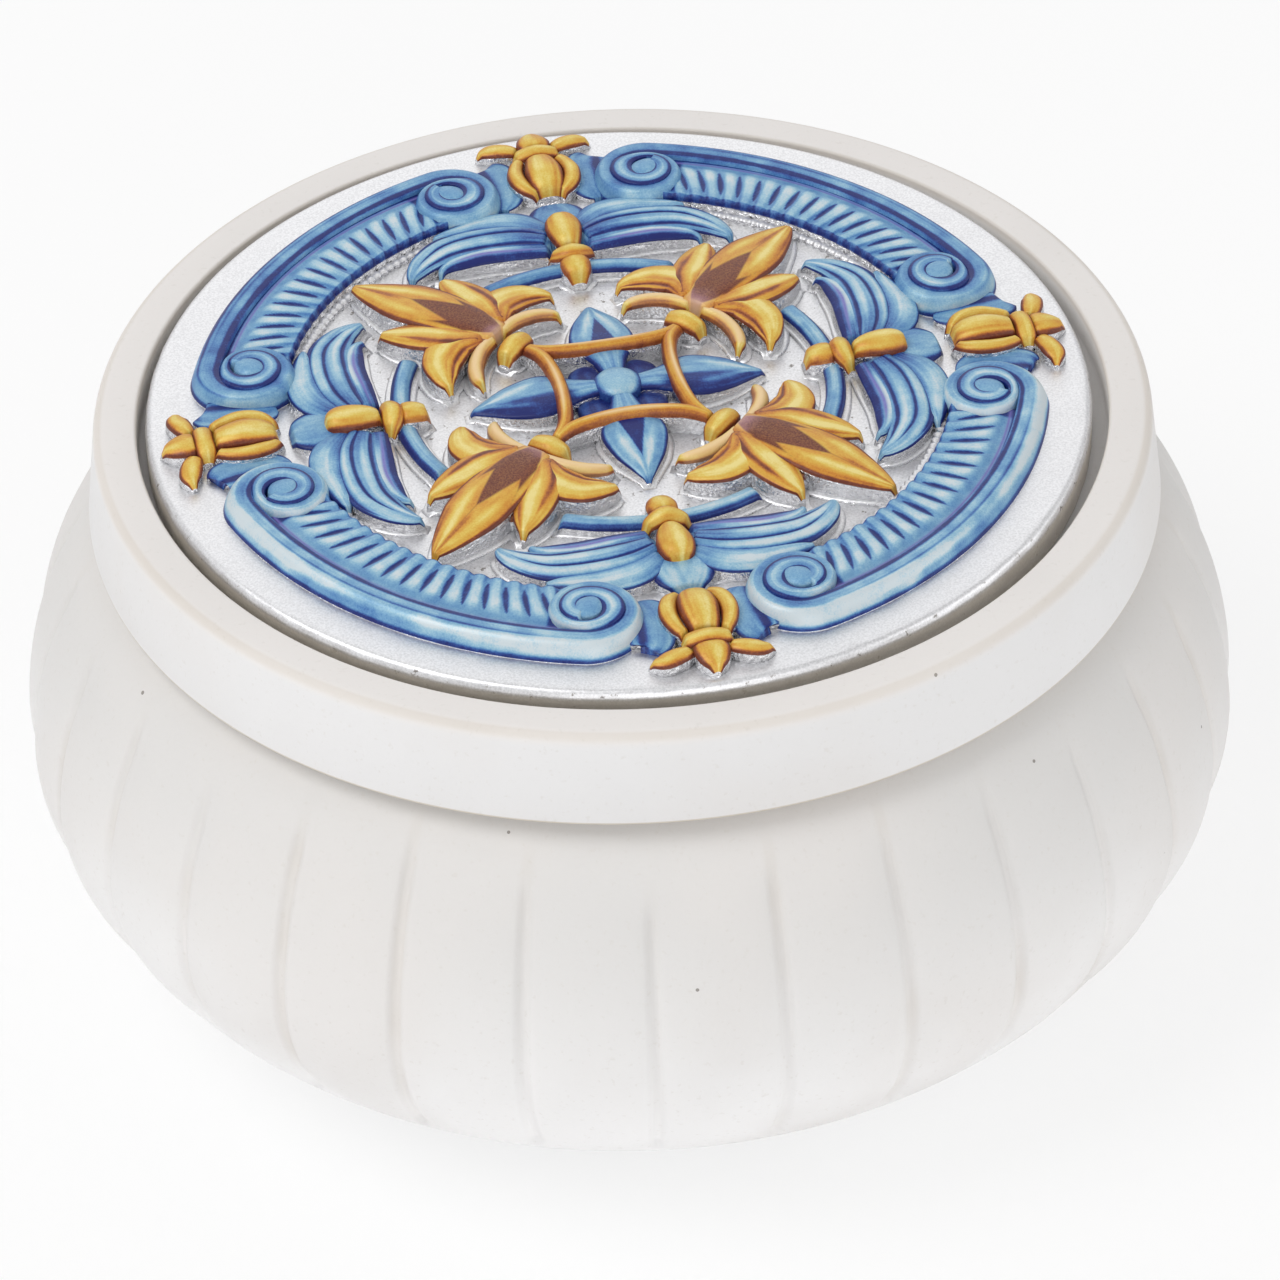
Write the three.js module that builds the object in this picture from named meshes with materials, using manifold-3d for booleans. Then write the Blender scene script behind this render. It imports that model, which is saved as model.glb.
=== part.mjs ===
// A round keepsake box: a fluted bowl, a lift-off lid and a relief plaque set into the lid.
// Millimetres, +Z up, origin at the centre of the underside.
import * as THREE from "three";
import { mergeVertices } from "three/addons/utils/BufferGeometryUtils.js";
import Module from "manifold-3d";

const wasm = await Module();
wasm.setup();

// Play between a piece and its neighbour, and how far a cutter reaches past what it cuts
const seatGap = 0.3;
const cutReach = 1;

// Columns of facets round the turned pieces
const ringColumns = 40;
const discColumns = 36;
const smallColumns = 8;

// Bowl, outside: a foot, a round belly and a short neck under the lid
const neckRadius = 44.2;
const bellyBulge = 10.8;
const footRadius = 29.7;
const footHeight = 0.4;
const waistHeight = 23.2;
const shoulderHeight = 44.3;
const neckHeight = 0.7;
const lowerFullness = 1.94;
const upperFullness = 1.71;

// Bowl, inside
const wall = 5.5;
const floorThickness = 6;
const floorRadius = 20;
const mouthWidth = 4.2;
const mouthDepth = 4;
const mouthChamfer = 0.6;

// Flutes cut down the belly
const fluteCount = 30;
const fluteWidth = 2.3;
const fluteDepth = 0.6;
const fluteStart = 2;
const fluteFade = 5;
const fluteFootFade = 2;
const flutePhase = 8.5;

// Felt pad let into the underside
const padRadius = 27;
const padThickness = 1.2;

// Lid: a ring with a recess on top, a web, and a lip that drops into the bowl's mouth
const lidOverhang = 3.7;
const lidHeight = 8.8;
const lidDraft = 0.9;
const lidRound = 1;
const lidFootRound = 0.4;
const ringWidth = 3.9;
const ringEdge = 0.3;
const recessDepth = 3.2;
const webThickness = 3;
const lipClearance = 0.5;
const lipWidth = 3;
const lipDepth = 3;

// Plaque: a silver sheet turned down round a cast core, held by a tape disc
const plaqueGap = 1.1;
const plaqueRound = 0.9;
const sheetThickness = 0.5;
const coreThickness = 3;
const tapeThickness = 0.4;
const tapeInset = 3;
const plaqueShift = -0.35;

// The relief is drawn for a plaque of this radius, and follows the plaque's own radius
const drawnRadius = 42;

// Heights and radii that follow from the sizes above
const bowlRadius = neckRadius + bellyBulge;
const rimHeight = shoulderHeight + neckHeight;
const mouthRadius = neckRadius - mouthWidth;
const floorHeight = footHeight + floorThickness;
const lidRadius = neckRadius + lidOverhang;
const lidTop = rimHeight + lidHeight;
const lipRadius = mouthRadius - lipClearance;
const recessRadius = lidRadius - lidDraft - ringWidth;
const recessFloor = lidTop - recessDepth;
const plaqueRadius = recessRadius - plaqueGap;
const plaqueTop = recessFloor + tapeThickness + coreThickness + sheetThickness;
const reliefScale = plaqueRadius / drawnRadius;

// Materials
const casting = material(0xe4e1dc, 0.85, 0);
const silver = material(0xd9d9db, 0.3, 1);
const blueEnamel = material(0x5fa3d6, 0.35, 0);
const goldEnamel = material(0xe0ab45, 0.35, 0);
const felt = material(0x8b8781, 1, 0);
const resin = material(0xcfc8ba, 0.7, 0);
const tape = material(0xeeeeea, 0.8, 0);

function material(color, roughness, metalness) {
  return new THREE.MeshStandardMaterial({ color, roughness, metalness });
}

// A closed geometry as a solid whose faces point out
function solid(geometry) {
  const bare = geometry.clone();
  bare.deleteAttribute("normal");
  bare.deleteAttribute("uv");
  const merged = mergeVertices(bare);
  const triVerts = new Uint32Array(merged.index.array);
  const make = () => new wasm.Manifold(
    new wasm.Mesh({ numProp: 3, vertProperties: merged.attributes.position.array, triVerts }));
  let body = make();
  if (body.volume() < 0) {
    triVerts.reverse();
    body = make();
  }
  return body;
}

function unite(bodies) {
  return bodies.reduce((sum, body) => sum.add(body));
}

function geometryOf(body) {
  const { vertProperties, triVerts } = body.getMesh();
  const geometry = new THREE.BufferGeometry();
  geometry.setAttribute("position", new THREE.BufferAttribute(vertProperties, 3));
  geometry.setIndex(new THREE.BufferAttribute(triVerts, 1));
  return geometry;
}

// A profile of [radius, height] points turned about the Z axis
function revolve(profile, segments) {
  const points = profile.map(([radius, height]) => new THREE.Vector2(radius, height));
  return new THREE.LatheGeometry(points, segments).rotateX(Math.PI / 2);
}

function disc(radius, bottom, top) {
  return revolve([[0, bottom], [radius, bottom], [radius, top], [0, top]], discColumns);
}

// A quarter of an oval from [r0, z0], where it runs upright, to [r1, z1], where it runs flat
function quarterOval(r0, z0, r1, z1, fullness, steps) {
  const points = [];
  for (let i = 0; i <= steps; i++) {
    const t = (i / steps) * (Math.PI / 2);
    const out = i === steps ? 0 : Math.cos(t) ** (2 / fullness);
    const rise = Math.sin(t) ** (2 / fullness);
    points.push([r1 + (r0 - r1) * out, z0 + (z1 - z0) * rise]);
  }
  return points;
}

// A quarter round about [r, z] from one angle to another, in degrees
function quarterRound(r, z, radius, from, to, steps = 2) {
  const points = [];
  for (let i = 0; i <= steps; i++) {
    const t = THREE.MathUtils.degToRad(from + ((to - from) * i) / steps);
    points.push([r + radius * Math.cos(t), z + radius * Math.sin(t)]);
  }
  return points;
}

// A closed body through rings of points, with flat ends
function loft(rings) {
  const count = rings[0].length;
  const index = [];
  for (let i = 0; i + 1 < rings.length; i++) {
    for (let j = 0; j < count; j++) {
      const a = i * count + j;
      const b = i * count + ((j + 1) % count);
      index.push(a, b, b + count, a, b + count, a + count);
    }
  }
  const last = (rings.length - 1) * count;
  for (let j = 1; j + 1 < count; j++) {
    index.push(0, j + 1, j, last, last + j, last + j + 1);
  }
  const geometry = new THREE.BufferGeometry();
  geometry.setAttribute("position", new THREE.Float32BufferAttribute(rings.flat(2), 3));
  geometry.setIndex(index);
  return geometry;
}

// Bowl

// How much of the flute's full depth is cut at a height: none at the foot and near the neck
function fluteShare(height) {
  const fromNeck = (shoulderHeight - fluteStart - height) / fluteFade;
  const fromFoot = (height - footHeight) / fluteFootFade;
  return THREE.MathUtils.clamp(Math.min(fromNeck, fromFoot), 0, 1);
}

// A revolve with three columns a flute, its bottom and its two edges, and a flat rib between
function flutedRevolve(profile) {
  const columns = 3 * fluteCount;
  const pitch = 360 / fluteCount;
  const halfWidth = THREE.MathUtils.radToDeg(fluteWidth / 2 / bowlRadius);
  const geometry = revolve(profile, columns);
  const position = geometry.attributes.position;
  for (let i = 0; i < position.count; i++) {
    const [radius, height] = profile[i % profile.length];
    const column = Math.floor(i / profile.length) % columns;
    const edge = [0, 1, -1][column % 3];
    const degrees = ((column - edge) / 3) * pitch + edge * halfWidth + flutePhase;
    const turn = THREE.MathUtils.degToRad(degrees);
    const cut = edge === 0 && radius > footRadius ? fluteDepth * fluteShare(height) : 0;
    position.setXY(i, (radius - cut) * Math.cos(turn), (radius - cut) * Math.sin(turn));
  }
  return geometry;
}

function bowl() {
  const outside = [
    [0, footHeight],
    ...quarterOval(bowlRadius, waistHeight, footRadius, footHeight, lowerFullness, 5).reverse(),
    ...quarterOval(bowlRadius, waistHeight, neckRadius, shoulderHeight, upperFullness, 5).slice(1),
    [neckRadius, rimHeight],
    [0, rimHeight],
  ];
  const mouthFloor = rimHeight - mouthDepth;
  const insideRadius = bowlRadius - wall;
  const inside = [
    ...quarterOval(insideRadius, waistHeight, floorRadius, floorHeight, lowerFullness, 4).reverse(),
    ...quarterOval(insideRadius, waistHeight, mouthRadius, mouthFloor, upperFullness, 3).slice(1),
    [mouthRadius, rimHeight - mouthChamfer],
    [mouthRadius + mouthChamfer + cutReach, rimHeight + cutReach],
  ];
  const hollow = revolve([[0, floorHeight], ...inside, [0, rimHeight + cutReach]], discColumns);
  const pocket = disc(padRadius + seatGap, -cutReach, padThickness);
  return solid(flutedRevolve(outside)).subtract(solid(hollow)).subtract(solid(pocket));
}

function basePad() {
  return disc(padRadius, 0, padThickness);
}

// Lid

function lid() {
  const ceiling = recessFloor - webThickness;
  const lipFloor = rimHeight - lipDepth;
  const topRadius = lidRadius - lidDraft;
  return revolve([
    [0, ceiling],
    [lipRadius - lipWidth, ceiling],
    [lipRadius - lipWidth, lipFloor],
    [lipRadius - lidFootRound, lipFloor],
    [lipRadius, lipFloor + lidFootRound],
    [lipRadius, rimHeight],
    [lidRadius - lidFootRound, rimHeight],
    [lidRadius, rimHeight + lidFootRound],
    ...quarterRound(topRadius - lidRound, lidTop - lidRound, lidRound, 0, 90),
    [recessRadius + ringEdge, lidTop],
    [recessRadius, lidTop - ringEdge],
    [recessRadius, recessFloor],
    [0, recessFloor],
  ], ringColumns);
}

// Plaque, with heights above the lid's recess floor

function plaqueTape() {
  return disc(plaqueRadius - tapeInset, 0, tapeThickness);
}

function plaqueCore() {
  const radius = plaqueRadius - sheetThickness - seatGap;
  return disc(radius, tapeThickness, tapeThickness + coreThickness);
}

function plaqueSheet() {
  const inner = plaqueRadius - sheetThickness;
  const coreTop = tapeThickness + coreThickness;
  const top = coreTop + sheetThickness;
  return revolve([
    [0, coreTop],
    [inner, coreTop],
    [inner, tapeThickness],
    [plaqueRadius, tapeThickness],
    ...quarterRound(plaqueRadius - plaqueRound, top - plaqueRound, plaqueRound, 0, 90),
    [0, top],
  ], ringColumns);
}

// Relief: each motif is drawn with its outward axis along +Y and stands on the plane z = 0

// Sections of a raised form, as shares of its half width and of its height
const roundSection = [[-1, 0], [-0.82, 0.62], [0, 1], [0.82, 0.62], [1, 0]];
const flatSection = [[-1, 0], [-0.55, 1], [0.55, 1], [1, 0]];

const polar = (radius, degrees) => {
  const turn = THREE.MathUtils.degToRad(degrees);
  return [radius * Math.sin(turn), radius * Math.cos(turn)];
};

const mirrored = (stations) => stations.map(([x, ...rest]) => [-x, ...rest]);

// A tapering ridge through stations of [x, y, half width, height]; grow makes a cutter round it
function ridge(stations, steps, grow = 0, section = roundSection) {
  const curve = (pick) => new THREE.CatmullRomCurve3(
    stations.map((station) => new THREE.Vector3(...pick(station))), false, "catmullrom");
  const path = curve(([x, y]) => [x, y, 0]);
  const size = curve(([, , halfWidth, height]) => [halfWidth, height, 0]);
  const rings = [];
  for (let i = 0; i <= steps; i++) {
    const t = i / steps;
    const along = path.getTangent(t);
    const end = i === 0 ? -grow : i === steps ? grow : 0;
    const place = path.getPoint(t).addScaledVector(along, end);
    const { x: halfWidth, y: height } = size.getPoint(t);
    const foot = grow > 0 ? -cutReach : 0;
    rings.push(section.map(([share, rise]) => {
      const aside = share * (halfWidth + grow);
      const z = rise === 0 ? foot : rise * (height + grow);
      return [place.x - along.y * aside, place.y + along.x * aside, z];
    }));
  }
  return solid(loft(rings));
}

function pair(stations, steps, grow, section) {
  return [ridge(stations, steps, grow, section), ridge(mirrored(stations), steps, grow, section)];
}

// Scroll arc: a smooth outer rail, a band of gadroons, a volute at each end and a neck to the bud
const ribCount = 12;
const ribSpan = 51;
const ribCrest = 1.6;
const ribValley = 0.9;
const railCrest = 1.9;
const voluteAngle = 28.7;
const volutePlace = 32.8;
const voluteStart = 4.5;
const voluteEye = 0.6;
const voluteTurns = 1.3;
const voluteCrest = 2.1;
const voluteBoss = [[0, 0], [2.9, 0], [2.6, 1.1], [0, 1.5]];

function gadroonBand() {
  const rings = [];
  for (let i = 0; i <= 2 * ribCount; i++) {
    const angle = ribSpan * (i / (2 * ribCount) - 0.5);
    const rib = i % 2 ? ribCrest : ribValley;
    const groove = (rib + ribValley) / 2;
    const section = [[29.7, 0], [30.4, rib], [34.9, groove], [36.4, railCrest], [37.8, 0]];
    rings.push(section.map(([radius, height]) => [...polar(radius, angle), height]));
  }
  return solid(loft(rings));
}

// A volute: a low boss under a ridge that winds in to the eye and gets thinner
function volute(side) {
  const [x, y] = polar(volutePlace, side * voluteAngle);
  const stations = [];
  const points = 8;
  for (let i = 0; i <= points; i++) {
    const t = i / points;
    const turn = Math.PI / 2 - side * t * voluteTurns * 2 * Math.PI;
    const radius = voluteEye + (voluteStart - voluteEye) * (1 - t) ** 1.6;
    const halfWidth = 0.75 - 0.3 * t;
    stations.push([x + radius * Math.cos(turn), y + radius * Math.sin(turn), halfWidth, voluteCrest]);
  }
  return [
    solid(revolve(voluteBoss, smallColumns)).translate([x, y, 0]),
    ridge(stations, 11, 0, flatSection),
  ];
}

function scrollArc() {
  const neck = [
    [...polar(36.6, 31.5), 1.1, 1.4],
    [...polar(36.2, 36.2), 1.2, 1.3],
    [...polar(33.8, 38.2), 0.8, 1.1],
    [...polar(31.4, 37), 0.3, 0.9],
  ];
  return unite([gadroonBand(), ...volute(1), ...volute(-1), ...pair(neck, 3)]);
}

// Bud: three gores, a collar, a tip and two side petals
function bud() {
  return unite([
    ridge([[0, 30.5, 1, 1.5], [0, 33.2, 1.7, 2.4], [0, 36.3, 1.1, 1.7]], 3),
    ...pair([[0.9, 30.9, 0.5, 1.2], [2.3, 33.2, 0.95, 1.8], [1.2, 36.3, 0.6, 1.4]], 2),
    ridge([[-2, 37, 0.5, 1.2], [0, 37, 0.85, 2], [2, 37, 0.5, 1.2]], 2),
    ridge([[0, 37.3, 1.2, 1.7], [0, 39, 1.5, 1.7], [0, 40.7, 0.2, 0.9]], 2),
    ...pair([[0.8, 37.6, 0.5, 1.2], [3.4, 38.9, 0.9, 1.3], [5.3, 38.9, 0.3, 0.7]], 3),
  ]);
}

// Leaf clasp: a drop over a knot and a short tail
const claspParts = [
  [[0, 21, 0.9, 1.8], [0, 23.8, 1.65, 2.3], [0, 26.4, 0.5, 1.5]],
  [[-1.9, 20.3, 0.6, 1.6], [0, 20.2, 1.1, 2.4], [1.9, 20.3, 0.6, 1.6]],
  [[0, 19.8, 1.4, 2], [0, 18.2, 1.3, 1.8], [0, 17, 0.5, 1.2]],
];
const stemRadius = 19.4;
const stemSpan = 27.3;

function stemArc(grow = 0) {
  const stations = [];
  for (let i = 0; i <= 6; i++) {
    stations.push([...polar(stemRadius, stemSpan * (i / 3 - 1)), 0.7, 0.8]);
  }
  return ridge(stations, 6, grow, flatSection);
}

function leafClasp() {
  return unite(claspParts.map((part) => ridge(part, 3))).subtract(stemArc(seatGap));
}

// Leaf pair: a middle lobe behind the drop and two lobes to each side
function leafPair() {
  const leaves = unite([
    ridge([[0, 22.4, 1.6, 1.3], [0, 26, 2.7, 1.5], [0, 28, 2.3, 1.5], [0, 29.4, 0.8, 1]], 4),
    ...pair([[1.6, 22.8, 1, 1.3], [4.6, 25.9, 1.8, 1.8], [8.6, 26.4, 1.3, 1.6], [12.6, 25.9, 0.2, 0.8]], 4),
    ...pair([[1.6, 22.2, 1, 1.2], [6.4, 23.6, 1.6, 1.8], [11, 23.4, 1.5, 1.5], [15.2, 20.9, 0.2, 0.8]], 4),
  ]);
  return claspParts.reduce((left, part) => left.subtract(ridge(part, 3, seatGap)), leaves);
}

// Lily head: a lance between two upper petals, two lower leaves with curls, and a knot
function lilyHead() {
  return unite([
    ridge([[0, 11.4, 1.3, 2], [0, 16.5, 2.2, 2.6], [0, 21.5, 2.9, 2.3], [0, 25.5, 1.9, 1.7],
      [0, 28.6, 0.2, 0.9]], 5),
    ...pair([[0.8, 14, 1, 1.9], [2.8, 17.5, 1.6, 1.9], [4, 20, 1.3, 1.5], [4.5, 22.4, 0.2, 1]], 3),
    ...pair([[0.8, 13.4, 1, 1.9], [3.4, 14.6, 1.4, 1.8], [6, 14.2, 1.4, 1.5], [7.9, 12.2, 0.3, 0.9]], 3),
    ...pair([[0.6, 12.8, 0.6, 1.7], [3.2, 12.7, 0.7, 1.6], [4.9, 11.5, 0.7, 1.3], [5.5, 9.9, 0.2, 0.8]], 3),
    ridge([[-2.1, 10.9, 0.6, 1.3], [0, 10.8, 1.15, 2], [2.1, 10.9, 0.6, 1.3]], 2),
  ]);
}

// Rosette: four petals on the axes and a boss
const petal = [
  [0, 1, 1.2, 1], [0, 5, 2.4, 1.1], [0, 8.5, 2.9, 1.2], [0, 11.3, 1.6, 1], [0, 13.5, 0.2, 0.6],
];

function petals(grow = 0) {
  const bodies = [];
  for (let i = 0; i < 4; i++) {
    bodies.push(ridge(petal, 5, grow).rotate([0, 0, 90 * i]));
  }
  return unite(bodies);
}

function rosette() {
  const boss = [[0, 0], [2.3, 0], [1.9, 1.2], [1.1, 1.8], [0, 2]];
  return petals().add(solid(revolve(boss, smallColumns)));
}

// Link band: four bowed straps between the knots, riding over the petals
function linkBand() {
  const strap = [[-6.2, 6.2, 0.65, 1.9], [-3.2, 5.4, 0.65, 2.1], [0, 5.2, 0.7, 2.2],
    [3.2, 5.4, 0.65, 2.1], [6.2, 6.2, 0.65, 1.9]];
  const straps = [];
  for (let i = 0; i < 4; i++) {
    straps.push(ridge(strap, 6, 0, flatSection).rotate([0, 0, 90 * i]));
  }
  return unite(straps).subtract(petals(seatGap));
}

// Assembly
const box = new THREE.Group();
const plaque = new THREE.Group();
const relief = new THREE.Group();
plaque.position.set(plaqueShift, 0, recessFloor);
relief.position.z = plaqueTop - recessFloor;
relief.scale.setScalar(reliefScale);
box.add(plaque);
plaque.add(relief);

function place(parent, name, shape, finish, degrees = 0) {
  const geometry = shape.isBufferGeometry ? shape : geometryOf(shape);
  const mesh = new THREE.Mesh(geometry, finish);
  mesh.name = name;
  mesh.rotation.z = THREE.MathUtils.degToRad(degrees);
  parent.add(mesh);
}

// The same motif four times round the plaque, the first one turned by the angle given
function placeFour(name, shape, finish, first) {
  const geometry = geometryOf(shape);
  for (let i = 0; i < 4; i++) {
    place(relief, `${name}_${i + 1}`, geometry, finish, first + 90 * i);
  }
}

place(box, "bowl", bowl(), casting);
place(box, "base_pad", basePad(), felt);
place(box, "lid", lid(), casting);
place(plaque, "plaque_tape", plaqueTape(), tape);
place(plaque, "plaque_core", plaqueCore(), resin);
place(plaque, "plaque_sheet", plaqueSheet(), silver);
placeFour("scroll_arc", scrollArc(), blueEnamel, 45);
placeFour("bud", bud(), goldEnamel, 0);
placeFour("leaf_pair", leafPair(), blueEnamel, 0);
placeFour("leaf_clasp", leafClasp(), goldEnamel, 0);
placeFour("stem_arc", stemArc(), blueEnamel, 0);
placeFour("lily_head", lilyHead(), goldEnamel, 45);
place(relief, "rosette", rosette(), blueEnamel);
place(relief, "link_band", linkBand(), goldEnamel);

export default box;
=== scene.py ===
import math

import bmesh
import bpy
from mathutils import Matrix, Vector, noise


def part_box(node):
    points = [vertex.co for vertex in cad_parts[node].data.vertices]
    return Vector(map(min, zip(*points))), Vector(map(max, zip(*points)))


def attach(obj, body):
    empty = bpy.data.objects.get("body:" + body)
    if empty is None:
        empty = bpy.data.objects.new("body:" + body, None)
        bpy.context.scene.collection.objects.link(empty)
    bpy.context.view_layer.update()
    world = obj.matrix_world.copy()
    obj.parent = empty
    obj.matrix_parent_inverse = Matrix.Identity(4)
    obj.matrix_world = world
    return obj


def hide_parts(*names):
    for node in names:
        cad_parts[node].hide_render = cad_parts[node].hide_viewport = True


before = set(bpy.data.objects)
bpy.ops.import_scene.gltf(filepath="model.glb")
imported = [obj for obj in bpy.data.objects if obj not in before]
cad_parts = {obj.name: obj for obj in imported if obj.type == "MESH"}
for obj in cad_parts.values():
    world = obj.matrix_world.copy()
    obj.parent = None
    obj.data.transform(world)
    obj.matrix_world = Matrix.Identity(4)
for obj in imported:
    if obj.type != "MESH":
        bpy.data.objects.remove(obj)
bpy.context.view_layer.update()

mm = 0.001


def boxOf(node):  # a CAD node's box in millimetres
    low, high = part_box(node)
    return low / mm, high / mm


bowlLow, bowlHigh = boxOf("bowl")
lidLow, lidHigh = boxOf("lid")
padLow, padHigh = boxOf("base_pad")
sheetLow, sheetHigh = boxOf("plaque_sheet")

bowlRadius = min(bowlHigh.x, bowlHigh.y, -bowlLow.x, -bowlLow.y)
lidRadius = min(lidHigh.x, lidHigh.y)
plaqueRadius = (sheetHigh.x - sheetLow.x) / 2
plaqueCentre = Vector(((sheetHigh.x + sheetLow.x) / 2, 0, sheetHigh.z))


# camera: set from the photograph's perspective
camera = dict(azimuth=-11.0, elevation=38.63, roll=0.0272, distance=555.96,
              aimRight=1.589, aimUp=-21.27, lens=176.32, sensor=36.0)


def placeCamera(values):
    azimuth, elevation = math.radians(values["azimuth"]), math.radians(values["elevation"])
    back = Vector((math.sin(azimuth) * math.cos(elevation),
                   -math.cos(azimuth) * math.cos(elevation), math.sin(elevation)))
    level = Vector((math.cos(azimuth), math.sin(azimuth), 0))
    upright = back.cross(level)
    turn = values["roll"]
    right = math.cos(turn) * level - math.sin(turn) * upright
    up = math.sin(turn) * level + math.cos(turn) * upright
    spot = Vector((0, 0, lidHigh.z)) + values["distance"] * back
    spot += values["aimRight"] * right + values["aimUp"] * up
    data = bpy.data.cameras.new("photoCamera")
    data.lens, data.sensor_width = values["lens"], values["sensor"]
    data.clip_start, data.clip_end = 0.02, 20
    rig = bpy.data.objects.new("photoCamera", data)
    rig.matrix_world = Matrix((right, up, back)).transposed().to_4x4()
    rig.location = spot * mm
    bpy.context.collection.objects.link(rig)
    bpy.context.scene.camera = rig


placeCamera(camera)
print("camera placed")


# materials: a Finish holds one node tree, a Value is one of its sockets and takes plain maths
def shade(red, green, blue):  # a colour as it looks, 0 to 255, in the linear numbers of the shader
    def linear(part):
        part /= 255
        return part / 12.92 if part <= 0.04045 else ((part + 0.055) / 1.055) ** 2.4
    return (linear(red), linear(green), linear(blue), 1)


class Value:
    def __init__(self, finish, socket):
        self.finish = finish
        self.socket = socket

    def maths(self, operation, first, second):
        return self.finish.node("Math", {"operation": operation}, {0: first, 1: second})

    def __add__(self, other):
        return self.maths("ADD", self, other)

    def __radd__(self, other):
        return self.maths("ADD", other, self)

    def __sub__(self, other):
        return self.maths("SUBTRACT", self, other)

    def __rsub__(self, other):
        return self.maths("SUBTRACT", other, self)

    def __mul__(self, other):
        return self.maths("MULTIPLY", self, other)

    def __rmul__(self, other):
        return self.maths("MULTIPLY", other, self)


class Finish:
    def __init__(self, name):
        self.material = bpy.data.materials.new(name)
        self.material.use_nodes = True
        self.tree = self.material.node_tree
        self.tree.nodes.clear()

    def node(self, kind, settings=None, inputs=None, output=0):
        made = self.tree.nodes.new("ShaderNode" + kind)
        for key, setting in (settings or {}).items():
            if key == "stops":
                self.stops(made.color_ramp, setting)
            else:
                setattr(made, key, setting)
        for key, given in (inputs or {}).items():
            if isinstance(given, Value):
                self.tree.links.new(given.socket, made.inputs[key])
            else:
                made.inputs[key].default_value = given
        return Value(self, made.outputs[output] if len(made.outputs) else None)

    def stops(self, ramp, colours):
        while len(ramp.elements) < len(colours):
            ramp.elements.new(1)
        for element, (place, colour) in zip(ramp.elements, colours):
            element.position, element.color = place, colour

    def place(self):  # millimetres on the piece
        spot = self.node("TexCoord", output="Object")
        return self.node("VectorMath", {"operation": "SCALE"}, {0: spot, "Scale": 1 / mm})

    def height(self, spot):
        return self.node("SeparateXYZ", None, {0: spot}, output="Z")

    def away(self, spot):  # distance from the axis of the box
        flat = self.node("VectorMath", {"operation": "MULTIPLY"}, {0: spot, 1: (1, 1, 0)})
        return self.node("VectorMath", {"operation": "LENGTH"}, {0: flat}, output="Value")

    def layer(self, value, *ranges):  # 1 where every band of the value is 1
        share = self.band(value, *ranges[0])
        for low, high in ranges[1:]:
            share = share * self.band(value, low, high)
        return share

    def attribute(self, name, output="Fac"):
        return self.node("Attribute", {"attribute_name": name}, None, output=output)

    def grain(self, spot, size, detail=2, roughness=0.5):  # noise with features of this many mm
        settings = {"Vector": spot, "Scale": 1 / size, "Detail": detail, "Roughness": roughness}
        return self.node("TexNoise", None, settings)

    def band(self, value, low, high):  # 0 below low, 1 above high
        return self.node("MapRange", {"interpolation_type": "SMOOTHSTEP"},
                         {0: value, 1: low, 2: high, 3: 0.0, 4: 1.0})

    def mix(self, share, first, second):
        return self.node("Mix", {"data_type": "RGBA"}, {0: share, 6: first, 7: second}, output=2)

    def bump(self, value, depth, strength):
        return self.node("Bump", None, {"Height": value, "Distance": depth * mm, "Strength": strength})

    def surface(self, inputs):
        return self.node("BsdfPrincipled", None, inputs)

    def done(self, shader):
        self.node("OutputMaterial", None, {"Surface": shader})
        return self.material


def castingFinish(name, values):
    finish = Finish(name)
    spot = finish.place()
    cloud = finish.grain(spot, values["cloudSize"], 3)
    speckle = finish.grain(spot, values["speckleSize"], 2)
    # painted light and shade: the bowl is painted paler towards the foot and darker up towards the lid; on
    # the lid the same blend gives the top a warmer tint
    top = finish.band(finish.height(spot), *values["paintedLightAndTintFrom"])
    body = finish.mix(top, values["side"], values["top"])
    for cover, kind in ((cloud, "stain"), (speckle, "fleck")):
        share = finish.band(cover, *values[kind + "From"]) * values[kind + "Share"]
        body = finish.mix(share, body, values[kind])
    cells = {"Vector": spot, "Scale": 1 / values["holeSpacing"]}
    gap = finish.node("TexVoronoi", None, cells, output="Distance")
    pick = finish.node("SeparateColor", None, {0: finish.node("TexVoronoi", None, cells, output="Color")})
    reach = finish.band(pick, values["holeShare"], 1.0) * values["holeSize"] + 0.0001
    inside = finish.node("Math", {"operation": "LESS_THAN"}, {0: gap, 1: reach})
    picked = finish.node("Math", {"operation": "GREATER_THAN"}, {0: pick, 1: values["holeShare"]})
    hole = inside * picked
    body = finish.mix(hole * values["holeDark"], body, values["hole"])
    # the tan colour is dust in the flute grooves, a thin line at the seam, and painted shade on the rounded
    # edges
    grooveDust = finish.attribute("groove") * (0.03 + 0.12 * finish.band(cloud, 0.5, 0.64))
    body = finish.mix(grooveDust, body, values["dustAndShade"])
    height = finish.height(spot)
    # a thin tan line at the lid's foot and round the bowl's neck, where the two meet
    seam = finish.layer(height, values["seamFrom"], values["seamTo"])
    seam = seam * finish.band(finish.away(spot), *values["seamRadius"])
    body = finish.mix(seam * values["seamTan"], body, values["dustAndShade"])
    # painted shade: the lid's rounded top edge, and a band just under the bowl's rim top, are darkened
    # towards the tan colour
    wearAndEdgeShade = finish.layer(height, values["edgeShadeFrom"], values["edgeShadeTo"])
    body = finish.mix(wearAndEdgeShade * (0.1 + 0.3 * cloud), body, values["dustAndShade"])
    relief = finish.grain(spot, 0.35, 3) * 0.5 + cloud * 1.2 - hole * 3
    return finish.done(finish.surface({
        "Base Color": body, "Roughness": 0.62 + speckle * 0.3,
        "Normal": finish.bump(relief, 0.09, 0.5), "Specular IOR Level": 0.3}))


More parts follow.
